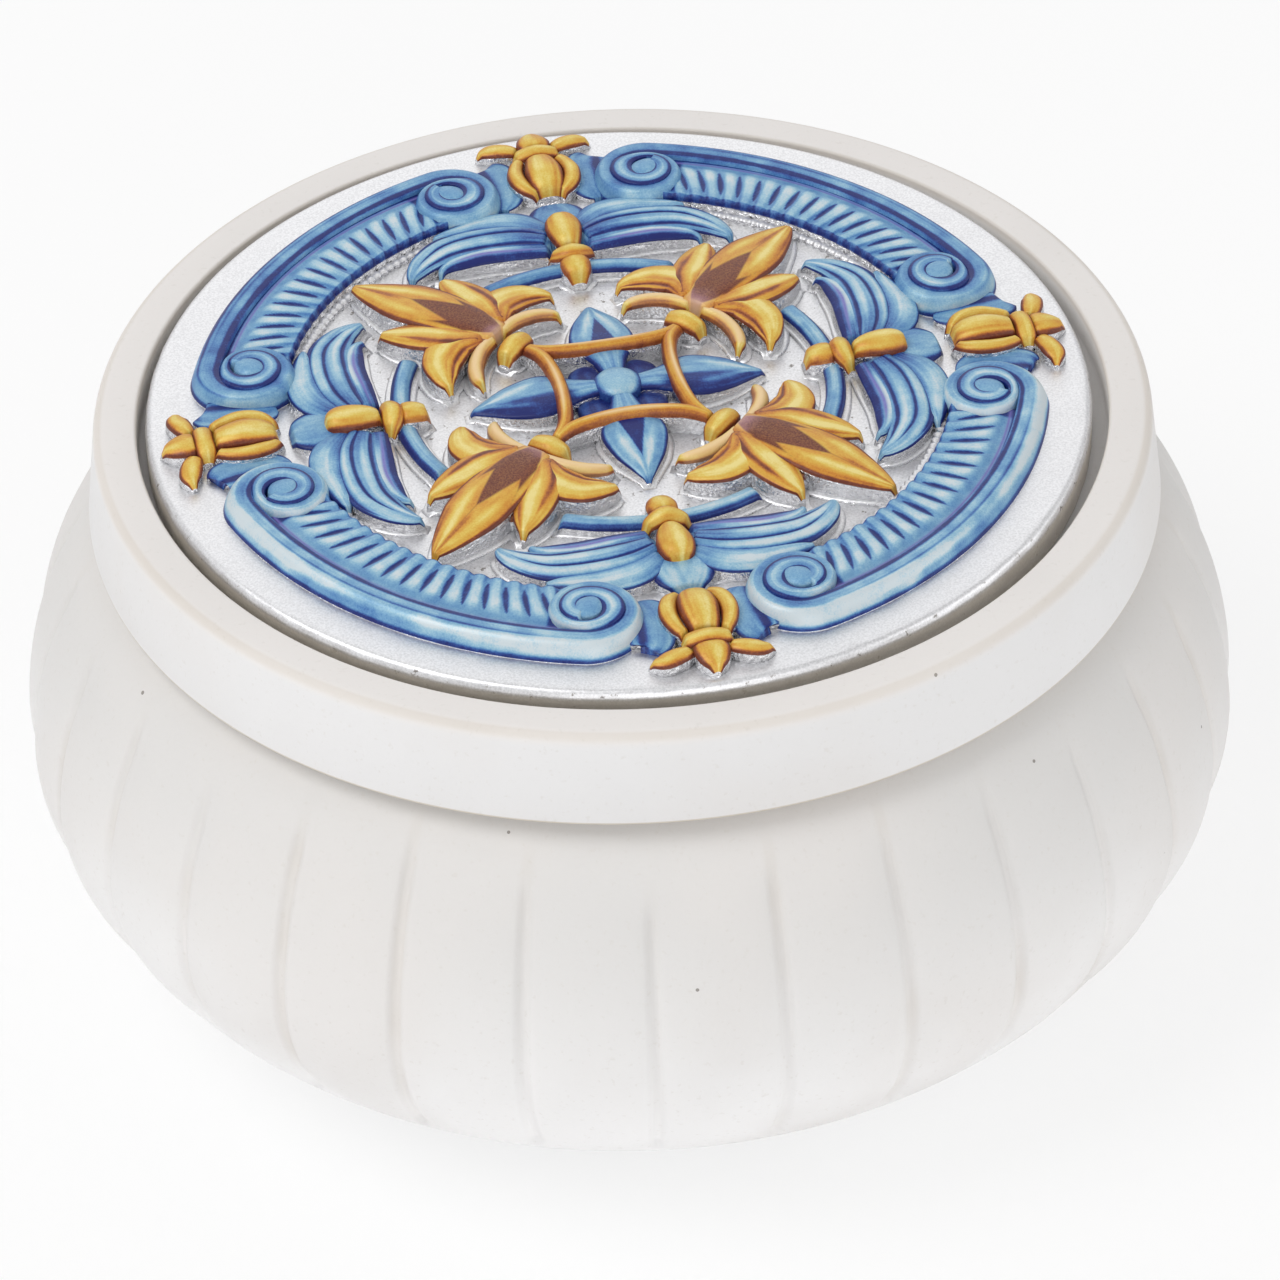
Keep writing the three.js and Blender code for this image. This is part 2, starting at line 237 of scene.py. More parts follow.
silverSheet = dict(gritSize=0.2, dentSize=2.6, crumpleSize=0.45, crumple=14, steep=(0.8, 0.35),
                   dull=shade(203, 203, 205), bright=shade(228, 228, 230), roughness=0.3, wallGloss=0.22,
                   wall=(sheetHigh.z - 0.55, sheetHigh.z - 1.1), edge=(sheetHigh.z - 0.12, sheetHigh.z - 0.3),
                   wearSize=0.9, wearFrom=(0.61, 0.67), wearShare=0.8, castShare=0.7,
                   wearAndEdgeShade=(shade(150, 140, 128), shade(96, 88, 80)),
                   cast=(shade(176, 166, 150), shade(206, 198, 184)))


def silverShader(finish, spot, crumpled):  # crumpled is 1 where steep walls are creased foil
    values = silverSheet
    normal = finish.node("NewGeometry", output="True Normal")
    wall = finish.band(finish.height(normal), *values["steep"]) * crumpled
    grit = finish.grain(spot, values["gritSize"], 3, 0.65)
    dent = finish.grain(spot, values["dentSize"], 2)
    crumple = finish.grain(spot, values["crumpleSize"], 3, 0.6)
    relief = grit * 0.6 + dent * 2.0 + wall * crumple * values["crumple"]
    return finish.surface({
        "Base Color": finish.mix(finish.band(grit, 0.3, 0.7), values["dull"], values["bright"]),
        "Metallic": 1.0, "Roughness": values["roughness"] + grit * 0.2 - wall * values["wallGloss"],
        "Normal": finish.bump(relief, 0.05, 0.6)})


def silverFinish(name):
    finish, values = Finish(name), silverSheet
    spot = finish.place()
    height = finish.height(spot)
    # the sheet's side wall, below its top edge, takes a mottled beige in place of silver
    cast = finish.mix(finish.grain(spot, 1.5, 3), *values["cast"])
    beigeSide = finish.surface({"Base Color": cast, "Roughness": 0.6})
    wear = finish.band(finish.grain(spot, values["wearSize"], 4, 0.7), *values["wearFrom"])
    bared = finish.surface({"Base Color": finish.mix(wear, *values["wearAndEdgeShade"]), "Roughness": 0.7})
    share = wear * finish.band(height, *values["edge"]) * values["wearShare"]
    wearAndEdgeShade = finish.node("MixShader", None, {0: share, 1: silverShader(finish, spot, 0.0), 2: bared})
    side = finish.band(height, *values["wall"]) * values["castShare"]
    return finish.done(finish.node("MixShader", None, {0: side, 1: wearAndEdgeShade, 2: beigeSide}))


# The paint of an enamelled piece: tone runs from outline to highlight, bare is uncovered silver,
# flame and cream are the two extra colours
def enamelFinish(name, values):
    finish = Finish(name)
    spot = finish.place()
    paint = {0: finish.attribute("paint", "Color")}
    tone, bare, flame = [finish.node("SeparateColor", None, paint, output=part) for part in range(3)]
    stroke = finish.grain(spot, values["strokeSize"], 3, 0.6)
    dither = finish.grain(spot, values["ditherSize"], 2, 0.7)
    level = tone + (stroke - 0.5) * values["strokeShare"] + (dither - 0.5) * values["ditherShare"]
    colour = finish.node("ValToRGB", {"stops": values["ramp"]}, {0: level})
    colour = finish.mix(finish.attribute("cream") * 0.9, colour, values["cream"])
    accent = finish.mix(finish.band(dither, 0.3, 0.7), values["flame"], values["flameDark"])
    beyondRoot = finish.band(finish.away(spot) + (stroke - 0.5) * 2, *values["flameRoot"])
    accent = finish.mix(beyondRoot, values["root"], accent)
    colour = finish.mix(flame * (0.95 + (dither - 0.5) * 0.5), colour, accent)
    glaze = finish.surface({
        "Base Color": colour, "Roughness": 0.34 + stroke * 0.14, "Metallic": tone * 0.12,
        "Specular IOR Level": 0.28, "Coat Weight": 0.12, "Coat Roughness": 0.25,
        "Normal": finish.bump(dither + stroke * 2, 0.02, 0.4)})
    cover = finish.band(bare + (stroke - 0.5) * 0.25, 0.35, 0.6)
    return finish.done(finish.node("MixShader", None, {
        0: cover, 1: glaze, 2: silverShader(finish, spot, 1.0)}))


def plainFinish(name, first, second, size, roughness, depth):
    finish = Finish(name)
    spot = finish.place()
    fibre = finish.grain(spot, size, 4, 0.7)
    return finish.done(finish.surface({
        "Base Color": finish.mix(finish.band(fibre, 0.3, 0.7), first, second),
        "Roughness": roughness + fibre * 0.1, "Normal": finish.bump(fibre, depth, 0.6)}))


# side and top are the bowl's painted light, paler at the foot and darker towards the shoulder; for the lid
# they are its side and its warmer top
casting = dict(cloudSize=26.0, speckleSize=0.5, side=shade(250, 249, 249), top=shade(223, 221, 219),
               stain=shade(229, 225, 222), stainFrom=(0.42, 0.72), stainShare=0.55,
               fleck=shade(214, 209, 202), fleckFrom=(0.6, 0.78), fleckShare=0.26, paintedLightAndTintFrom=(9.0, 40.0),
               hole=shade(120, 112, 104), holeSpacing=4.6, holeShare=0.6, holeSize=0.05, holeDark=0.75,
               dustAndShade=shade(196, 182, 160), seamTan=0.8, seamRadius=(bowlRadius - 11.2, bowlRadius - 11.0),
               seamFrom=(bowlHigh.z - 0.75, bowlHigh.z - 0.4), seamTo=(bowlHigh.z, bowlHigh.z - 0.1),
               edgeShadeFrom=(bowlHigh.z - 0.4, bowlHigh.z - 0.1), edgeShadeTo=(bowlHigh.z, bowlHigh.z - 0.05))
lidCasting = dict(casting, side=shade(234, 233, 233), top=shade(236, 232, 229),
                  paintedLightAndTintFrom=(lidHigh.z - 1.3, lidHigh.z - 0.4),
                  seamRadius=(lidRadius - 1.5, lidRadius - 0.6),
                  seamFrom=(bowlHigh.z - 1.0, bowlHigh.z - 0.5),
                  seamTo=(bowlHigh.z + 0.34, bowlHigh.z + 0.12),
                  # edge band: painted shade on the lid's rounded top edge
                  edgeShadeFrom=(lidHigh.z - 0.9, lidHigh.z - 0.3), edgeShadeTo=(lidHigh.z, lidHigh.z - 0.12))
blueRamp = [(0.0, shade(18, 32, 104)), (0.2, shade(42, 76, 148)), (0.4, shade(80, 130, 184)),
            (0.6, shade(116, 164, 200)), (0.8, shade(158, 196, 214)), (1.0, shade(204, 215, 220))]
goldRamp = [(0.0, shade(106, 50, 34)), (0.2, shade(160, 88, 44)), (0.42, shade(204, 136, 50)),
            (0.62, shade(216, 168, 68)), (0.82, shade(224, 196, 96)), (1.0, shade(234, 216, 140))]

castingBowl = castingFinish("castingBowl", casting)
castingLid = castingFinish("castingLid", lidCasting)
silver = silverFinish("silver")
enamel = dict(strokeSize=1.6, strokeShare=0.44, ditherSize=0.16, ditherShare=0.42)
blueEnamel = enamelFinish("blueEnamel", dict(
    enamel, ramp=blueRamp, cream=shade(222, 228, 232), flame=shade(126, 118, 190),
    flameDark=shade(110, 100, 176), root=shade(126, 118, 190), flameRoot=(0.0, 1.0)))
goldEnamel = enamelFinish("goldEnamel", dict(
    enamel, ramp=goldRamp, cream=shade(236, 204, 158), flame=shade(122, 62, 44),
    flameDark=shade(92, 42, 30), root=shade(168, 122, 132), flameRoot=(12.4, 14.8)))
felt = plainFinish("felt", shade(120, 114, 108), shade(160, 154, 146), 0.4, 0.88, 0.25)
tape = plainFinish("tape", shade(226, 226, 220), shade(240, 240, 236), 0.8, 0.7, 0.08)
core = plainFinish("core", shade(196, 188, 174), shade(216, 208, 194), 1.2, 0.62, 0.1)
print("materials made")


# turned pieces
def roundOff(r, z, radius, start, end, steps):  # an arc in a profile, in degrees
    turns = [math.radians(start + (end - start) * i / steps) for i in range(steps + 1)]
    return [(r + radius * math.cos(t), z + radius * math.sin(t)) for t in turns]


def quarterOval(r0, z0, r1, z1, fullness, steps):  # upright at the first end, flat at the other
    points = []
    for i in range(steps + 1):
        t = i / steps * math.pi / 2
        out = 0 if i == steps else math.cos(t) ** (2 / fullness)
        points.append((r1 + (r0 - r1) * out, z0 + (z1 - z0) * math.sin(t) ** (2 / fullness)))
    return points


def turned(profile, columns, wedges=12):
    bm = bmesh.new()
    verts = [bm.verts.new((r * mm, 0, z * mm)) for r, z in profile]
    edges = [bm.edges.new(pair) for pair in zip(verts, verts[1:])]
    around = dict(cent=(0, 0, 0), axis=(0, 0, 1))
    bmesh.ops.spin(bm, geom=verts + edges, angle=math.tau / wedges, steps=columns // wedges, **around)
    geom = [*bm.verts, *bm.edges, *bm.faces]
    bmesh.ops.spin(bm, geom=geom, angle=math.tau * (wedges - 1) / wedges, steps=wedges - 1,
                   use_duplicate=True, **around)
    bmesh.ops.remove_doubles(bm, verts=bm.verts, dist=2e-6)
    bmesh.ops.recalc_face_normals(bm, faces=bm.faces)
    return bm


def finishPiece(name, bm, material, body, node):
    for face in bm.faces:
        face.smooth = True
    mesh = bpy.data.meshes.new(name)
    bm.to_mesh(mesh)
    bm.free()
    mesh.materials.append(material)
    piece = bpy.data.objects.new(name, mesh)
    bpy.context.collection.objects.link(piece)
    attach(piece, body)
    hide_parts(node)


def smoothStep(value, low, high):
    t = min(1.0, max(0.0, (value - low) / (high - low)))
    return t * t * (3 - 2 * t)


def bell(value, middle, width):  # 1 at the middle, falling off on both sides
    return math.exp(-((value - middle) / width) ** 2)


bowl = dict(bulge=10.8, footRadius=29.7, waist=23.2, shoulder=44.3, lowerFullness=1.94,
            upperFullness=1.71, wall=5.5, floorRadius=20.0, floor=6.0, mouthWidth=4.2, mouthDepth=4.0,
            edge=0.6, rimRound=0.3, pocketGap=0.3, pocketRound=0.2, columns=720)
flutes = dict(count=30, phase=8.5, width=1.5, flatShare=0.18, depth=0.42, pillow=5.2, pillowDepth=0.55,
              start=3.2, fade=4.5, footFade=2.5, unevenness=3.4, gather=0.8)


def fluteCut(r, z, angle):  # how deep the flutes cut at a point of the belly, and how far up the groove
    pitch = 360 / flutes["count"]
    turns = (math.degrees(angle) - flutes["phase"]) / pitch
    nearest = round(turns)
    aside = abs(turns - nearest) * math.radians(pitch) * r
    uneven = noise.noise(Vector((nearest * 3.7, 0.3, 0.9))) * flutes["unevenness"]
    top = bowl["shoulder"] - flutes["start"] - uneven
    foot = smoothStep(z, bowlLow.z, bowlLow.z + flutes["footFade"])
    share = smoothStep(z, top, top - flutes["fade"]) * foot
    groove = 1 - smoothStep(aside, flutes["width"] * flutes["flatShare"], flutes["width"] / 2)
    pillow = max(0.0, 1 - aside / flutes["pillow"]) ** 2
    patchy = 0.8 + 0.4 * noise.noise(Vector((nearest * 5.1, z * 0.25, 2.0)))
    cut = share * (flutes["depth"] * patchy * groove + flutes["pillowDepth"] * pillow)
    return cut, groove * smoothStep(z, top + 1.5, top - 1) * patchy


def makeBowl():
    neck = bowlRadius - bowl["bulge"]
    rim, foot, edge = bowlHigh.z, bowlLow.z, bowl["edge"]
    mouth = neck - bowl["mouthWidth"]
    inner = bowlRadius - bowl["wall"]
    pocket = padHigh.x + bowl["pocketGap"]
    belly = quarterOval(bowlRadius, bowl["waist"], bowl["footRadius"], foot, bowl["lowerFullness"], 40)
    shoulder = quarterOval(bowlRadius, bowl["waist"], neck, bowl["shoulder"], bowl["upperFullness"], 40)
    hollow = quarterOval(inner, bowl["waist"], bowl["floorRadius"], foot + bowl["floor"],
                         bowl["lowerFullness"], 12)
    throat = quarterOval(inner, bowl["waist"], mouth, rim - bowl["mouthDepth"],
                         bowl["upperFullness"], 10)
    turn, top = bowl["pocketRound"], bowl["rimRound"]
    outside = [(0, padHigh.z), (pocket, padHigh.z), *roundOff(pocket + turn, foot + turn, turn, 180, 270, 2),
               *belly[::-1], *shoulder[1:], *roundOff(neck - top, rim - top, top, 0, 90, 3)]
    inside = [*roundOff(mouth + edge, rim - edge, edge, 90, 180, 4), *throat[::-1], *hollow[1:],
              (0, foot + bowl["floor"])]
    bm = turned(outside + inside, bowl["columns"])
    tint = bm.verts.layers.float.new("groove")
    for vert in bm.verts:
        r, z = math.hypot(vert.co.x, vert.co.y) / mm, vert.co.z / mm
        angle = math.atan2(vert.co.y, vert.co.x)
        wave = math.sin(flutes["count"] * (angle - math.radians(flutes["phase"])))
        angle -= flutes["gather"] * wave / flutes["count"]  # closer columns at the flutes
        outer = r > inner + 1 or r > neck - 2 and z > bowl["waist"] or z < bowl["floor"] - 0.5
        if outer and r > bowl["footRadius"] and z < bowl["shoulder"]:
            cut, vert[tint] = fluteCut(r, z, angle)
            r -= cut
        vert.co.x, vert.co.y = r * math.cos(angle) * mm, r * math.sin(angle) * mm
    finishPiece("bowl_body", bm, castingBowl, "base", "bowl")


def makePad():
    edge = 0.35
    profile = [(0, padLow.z), *roundOff(padHigh.x - edge, padLow.z + edge, edge, 270, 360, 4),
               (padHigh.x, padHigh.z), (0, padHigh.z)]
    finishPiece("felt_pad", turned(profile, 96), felt, "base", "base_pad")


lid = dict(draft=0.9, topRound=1.1, footRound=0.22, ringWidth=3.9, recessEdge=0.35, recess=3.2,
           floorRound=0.4, web=3.0, ceilingRound=0.8, lipRadius=39.5, lipWidth=3.0, lipRound=0.4,
           lipInnerRound=0.3, columns=360)


def makeLid():
    top, foot = lidHigh.z, bowlHigh.z
    topRadius = lidRadius - lid["draft"]
    recess = topRadius - lid["ringWidth"]
    floor = top - lid["recess"]
    ceiling = floor - lid["web"]
    lipOuter, lipInner = lid["lipRadius"], lid["lipRadius"] - lid["lipWidth"]

    def corner(r, z, key, outward, upward, *turn):  # rounds a corner, from the side its middle lies on
        size = lid[key]
        return roundOff(r - outward * size, z - upward * size, size, *turn)

    profile = [
        (0, ceiling), *corner(lipInner, ceiling, "ceilingRound", 1, 1, 90, 0, 4),
        *corner(lipInner, lidLow.z, "lipInnerRound", -1, -1, 180, 270, 3),
        *corner(lipOuter, lidLow.z, "lipRound", 1, -1, 270, 360, 3), (lipOuter, foot),
        *corner(lidRadius, foot, "footRound", 1, -1, 270, 355, 5),
        *corner(topRadius, top, "topRound", 1, 1, 6, 90, 8),
        *corner(recess, top, "recessEdge", -1, 1, 90, 180, 5),
        *corner(recess, floor, "floorRound", 1, -1, 0, -90, 4), (0, floor),
    ]
    finishPiece("lid_body", turned(profile, lid["columns"]), castingLid, "lid", "lid")


makeBowl()
makePad()
makeLid()
print("bowl, pad and lid made")


# plaque sheet: a pressed silver face with a lowered field inside the scroll ring
sheet = dict(edge=0.9, thickness=0.5, fieldRadius=28.4, fieldDepth=0.4, fieldStep=0.5, ringStep=0.8,
             dent=0.05, edgeDent=0.06, columns=480)


def makeSheet():
    top, foot, edge = 0.0, sheetLow.z - sheetHigh.z, sheet["edge"]
    inner = plaqueRadius - sheet["thickness"]
    step = sheet["ringStep"]
    rings = [i * step for i in range(int((plaqueRadius - edge) / step) + 1)]
    under = [(r, -sheet["thickness"]) for r in rings if r < inner]
    profile = [*under, (inner, -sheet["thickness"]), (inner, foot),
               (plaqueRadius - 0.1, foot), (plaqueRadius, foot + 0.1),
               *roundOff(plaqueRadius - edge, top - edge, edge, 0, 90, 8), *[(r, top) for r in rings[::-1]]]
    bm = turned(profile, sheet["columns"])
    for vert in bm.verts:
        flat = Vector((vert.co.x, vert.co.y, 0)) / mm
        r = flat.length
        if r < inner - 0.1 or vert.co.z / mm > -0.05:
            start = sheet["fieldRadius"] - sheet["fieldStep"]
            vert.co.z -= sheet["fieldDepth"] * mm * (1 - smoothStep(r, start, sheet["fieldRadius"]))
            if vert.co.z / mm > -sheet["thickness"]:
                vert.co.z += (noise.noise(flat * 0.35) - 1) * sheet["dent"] * mm
        elif r > plaqueRadius - 0.2:
            wave = (noise.noise(flat * 0.5) - 1) * sheet["edgeDent"]
            vert.co.x *= 1 + wave / r
            vert.co.y *= 1 + wave / r
    bmesh.ops.transform(bm, matrix=Matrix.Translation(plaqueCentre * mm), verts=bm.verts)
    finishPiece("plaque_face", bm, silver, "lid", "plaque_sheet")


makeSheet()


# relief: every form is a grid laid along a path and raised to a crown between steep walls
crown = dict(wall=0.86, wallShare=0.96, shoulder=0.72, fullness=2.8, endLength=0.5)
fieldFoot = -0.5  # where a form starts under the face of the sheet, in its lowered field
rimFoot = -0.1  # and outside the field, under scrolls and buds
drawnRadius = 42  # the motifs are drawn for a plaque of this radius


def between(stations, t):  # a smooth curve through rows of numbers
    span = t * (len(stations) - 1)
    i = min(int(span), len(stations) - 2)
    f = span - i
    last = len(stations) - 1
    rows = [stations[min(last, max(0, j))] for j in (i - 1, i, i + 1, i + 2)]
    return [0.5 * (2 * b + (c - a) * f + (2 * a - 5 * b + 4 * c - d) * f * f
                   + (3 * b - a - 3 * c + d) * f ** 3) for a, b, c, d in zip(*rows)]


def mirrored(stations):
    return [(-x, *rest) for x, *rest in stations]


def line(across, span, dark, width, bend=0.0, depth=0.0, fade=0.3):  # a brush line along a form
    return dict(across=across, span=span, dark=dark, width=width, bend=bend, depth=depth, fade=fade)


def lineShare(stroke, across, t):
    start, end = stroke["span"]
    if not start < t < end:
        return 0.0
    f = (t - start) / (end - start)
    first, last = stroke["across"]
    centre = first + (last - first) * f + stroke["bend"] * 4 * f * (1 - f)
    fade = stroke["fade"]
    share = smoothStep(f, 0, fade) * (1 - smoothStep(f, 1 - fade, 1)) if fade else 1
    reach = (across - centre) / (stroke["width"] * (0.35 + 0.65 * share))
    return share ** 0.5 * math.exp(-reach * reach) if abs(reach) < 3 else 0.0


class Relief:
    def __init__(self, angle, base=fieldFoot):
        self.base = base
        self.bm = bmesh.new()
        self.paint = self.bm.verts.layers.float_color.new("paint")
        self.cream = self.bm.verts.layers.float.new("cream")
        self.angle = math.radians(angle)
        self.near = -math.cos(self.angle)  # 1 on the motif at the front, -1 at the back

    def south(self, normal):  # how far a local direction faces the front of the box
        return -normal.x * math.sin(self.angle) - normal.y * math.cos(self.angle)

    def close(self, made, sides):  # shuts a grid below, across its width and then at its ends
        edges = {e for v in made for e in v.link_edges if e.is_boundary}
        rails = [e for e in edges if all(abs(sides[v]) > 0.999 for v in e.verts)]
        bmesh.ops.bridge_loops(self.bm, edges=rails)
        edges = {e for v in made for e in v.link_edges if e.is_boundary}
        bmesh.ops.holes_fill(self.bm, edges=list(edges), sides=0)
        faces = list({f for v in made for f in v.link_faces})
        bmesh.ops.recalc_face_normals(self.bm, faces=faces)
        top = max(made, key=lambda v: v.co.z)
        if sum(face.normal.z for face in top.link_faces) < 0:
            bmesh.ops.reverse_faces(self.bm, faces=faces)
        for face in faces:
            face.normal_update()

    def form(self, stations, look, rows=32, columns=20, base=None, grow=0.0):
        base = self.base if base is None else base
        path = stations if callable(stations) else lambda t: between(stations, t)
        made = bmesh.ops.create_grid(self.bm, x_segments=columns, y_segments=rows, size=0.5)["verts"]
        places, along, length, last = {}, {}, 0.0, None
        for row in range(rows + 1):
            t = row / rows
            ahead, behind = path(min(1, t + 0.004)), path(max(0, t - 0.004))
            run = Vector((ahead[0] - behind[0], ahead[1] - behind[1])).normalized()
            here = path(t)[:4]
            length += math.hypot(here[0] - last[0], here[1] - last[1]) if last else 0
            last = here
            along[row] = (*here, run, length)
        shoulderOf = look.get("shoulderOf", lambda across, t: look.get("shoulder", crown["shoulder"]))
        lines, fullness = look.get("lines", ()), look.get("fullness", crown["fullness"])
        for vert in made:
            across, t = 2 * vert.co.x, vert.co.y + 0.5
            x, y, half, height, run, walked = along[round(t * rows)]
            aside, wall = abs(across), crown["wall"]
            shoulder = shoulderOf(across, t)
            if aside > wall:
                fall = (aside - wall) / (1 - wall)
                share, rise = crown["wallShare"] + (1 - crown["wallShare"]) * fall, shoulder * (1 - fall)
            else:
                share = aside / wall * crown["wallShare"]
                rise = shoulder + (1 - shoulder) * (1 - (aside / wall) ** fullness)
            out = math.copysign(share * (max(half, 0.02) + grow), across)
            reach = min(walked, length - walked) / crown["endLength"]
            rise *= min(1, max(0, reach)) ** 0.6 if look.get("ends", True) else 1 if 0 < t < 1 else 0
            for stroke in lines:
                if stroke["depth"]:
                    rise -= lineShare(stroke, across, t) * stroke["depth"]
            push = 0 if 0 < t < 1 else grow * (1 if t == 1 else -1)
            vert.co = (x + run.y * -out + run.x * push, y + run.x * out + run.y * push,
                       base + (height - base) * max(0.0, rise))
            places[vert] = (across, t, reach)
        self.close(made, {vert: across for vert, (across, t, reach) in places.items()})
        for vert, (across, t, reach) in places.items():
            vert.normal_update()
            self.colour(vert, across, t, reach, look)

    def colour(self, vert, across, t, reach, look):
        # painted light: faces turned towards the front of the box are painted lighter, and faces turned to
        # the back darker
        tone = look["tone"] + look.get("south", 0.1) * self.south(vert.normal)
        edgeWidth, edgeGain = look.get("edge", (0.16, 0.45))
        outline = crown["wall"] - 0.02
        tone -= edgeGain * smoothStep(abs(across), outline - edgeWidth, outline)
        place, width, gain = look.get("light", (0.0, 0.5, 0.0))
        tone += gain * bell(across, place, width)
        rootLength, rootGain = look.get("root", (0.2, 0.0))
        tone -= rootGain * (1 - smoothStep(t, 0, rootLength))
        tipLength, tipGain = look.get("tip", (0.12, 0.0))
        tone -= tipGain * smoothStep(t, 1 - tipLength, 1)
        for stroke in look.get("lines", ()):
            tone -= lineShare(stroke, across, t) * stroke["dark"]
        wander = noise.noise(Vector((across * 3.5, t * 2.5, look["tone"] * 40)))
        wander += 0.7 * noise.noise(Vector((across * 9, t * 3, look["tone"] * 90)))
        tone += wander * look.get("streak", 0.2)
        if "patch" in look:
            tone -= look["patch"](vert.co.x, vert.co.y)
        rim = crown["wall"] - 0.005 + look.get("lip", 0.0)
        bare = smoothStep(abs(across), rim, rim + 0.05)
        if look.get("ends", True):
            bare = max(bare, 1 - smoothStep(reach, 0.25, 0.4))
        bare = max(bare, look.get("bare", 0.0))
        flame = look["flame"](vert.co.x, vert.co.y) if "flame" in look else 0.0
        flame = max([flame] + [lineShare(v, across, t) for v in look.get("violets", ())])
        creams = [lineShare(v, across, t) for v in look.get("creams", ())]
        vert[self.paint] = (min(1, max(0, tone)), bare, flame, 1)
        vert[self.cream] = min(1, sum(creams))

    def both(self, stations, look, **values):
        self.form(stations, look, **values)
        self.form(mirrored(stations), mirrorLook(look), **values)

    def halo(self, *forms):  # a low silver step round each form
        for stations in forms:
            low = [(x, y, half, -0.15) for x, y, half, *_ in stations]
            self.form(low, dict(tone=0.5, bare=1.0, shoulder=0.95), grow=0.5)

    def halos(self, *forms):  # the same on both sides of the middle line
        for stations in forms:
            self.halo(stations, mirrored(stations))

    def place(self, node, material, slot):
        scale = plaqueRadius / drawnRadius * mm
        matrix = Matrix.Translation(plaqueCentre * mm) @ Matrix.Rotation(self.angle, 4, "Z")
        bmesh.ops.transform(self.bm, matrix=matrix @ Matrix.Scale(scale, 4), verts=self.bm.verts)
        finishPiece(node + "_relief", self.bm, material, "lid", node)


def mirrorLook(look):
    turned = dict(look)
    if "light" in look:
        place, width, gain = look["light"]
        turned["light"] = (-place, width, gain)
    for key in ("lines", "violets", "creams"):
        turned[key] = [dict(v, across=tuple(-a for a in v["across"]), bend=-v["bend"])
                       for v in look.get(key, ())]
    return turned


def dome(x, y, radius, foot, height):  # stations of a round button
    turns = [math.radians(22.5 * i - 90) for i in range(9)]
    return [(x, y + radius * math.sin(t), radius * max(0.05, math.cos(t)),
             foot + (height - foot) * max(0.0, math.cos(t)) ** 0.7) for t in turns]


def polar(radius, degrees):
    turn = math.radians(degrees)
    return radius * math.sin(turn), radius * math.cos(turn)


# lily heads
gold = dict(tone=0.56, light=(0.0, 0.4, 0.26), edge=(0.14, 0.66), root=(0.3, 0.25), tip=(0.12, 0.1))
blade = dict(gold, tone=0.52, edge=(0.08, 0.7), shoulder=0.86, fullness=3.4)


def lilyFlame(x, y):  # the brown tongue painted up the middle of the lance, with a tooth on each side
    half = 1.45 * min(1.0, max(0.0, (22.2 - y) / 5.0)) ** 0.85 * smoothStep(y, 11.2, 15.0)
    tooth = 0.72 * min(1.0, max(0.0, (18.9 - y) / 4.0)) * smoothStep(y, 13.6, 15.6)
    aside = abs(abs(x) - 0.9 - 0.26 * (y - 14.6))
    ends = smoothStep(y, 12.2, 13.4)
    return max(1 - smoothStep(abs(x), half - 0.12, half + 0.08),
               1 - smoothStep(aside, tooth - 0.12, tooth + 0.08)) * ends


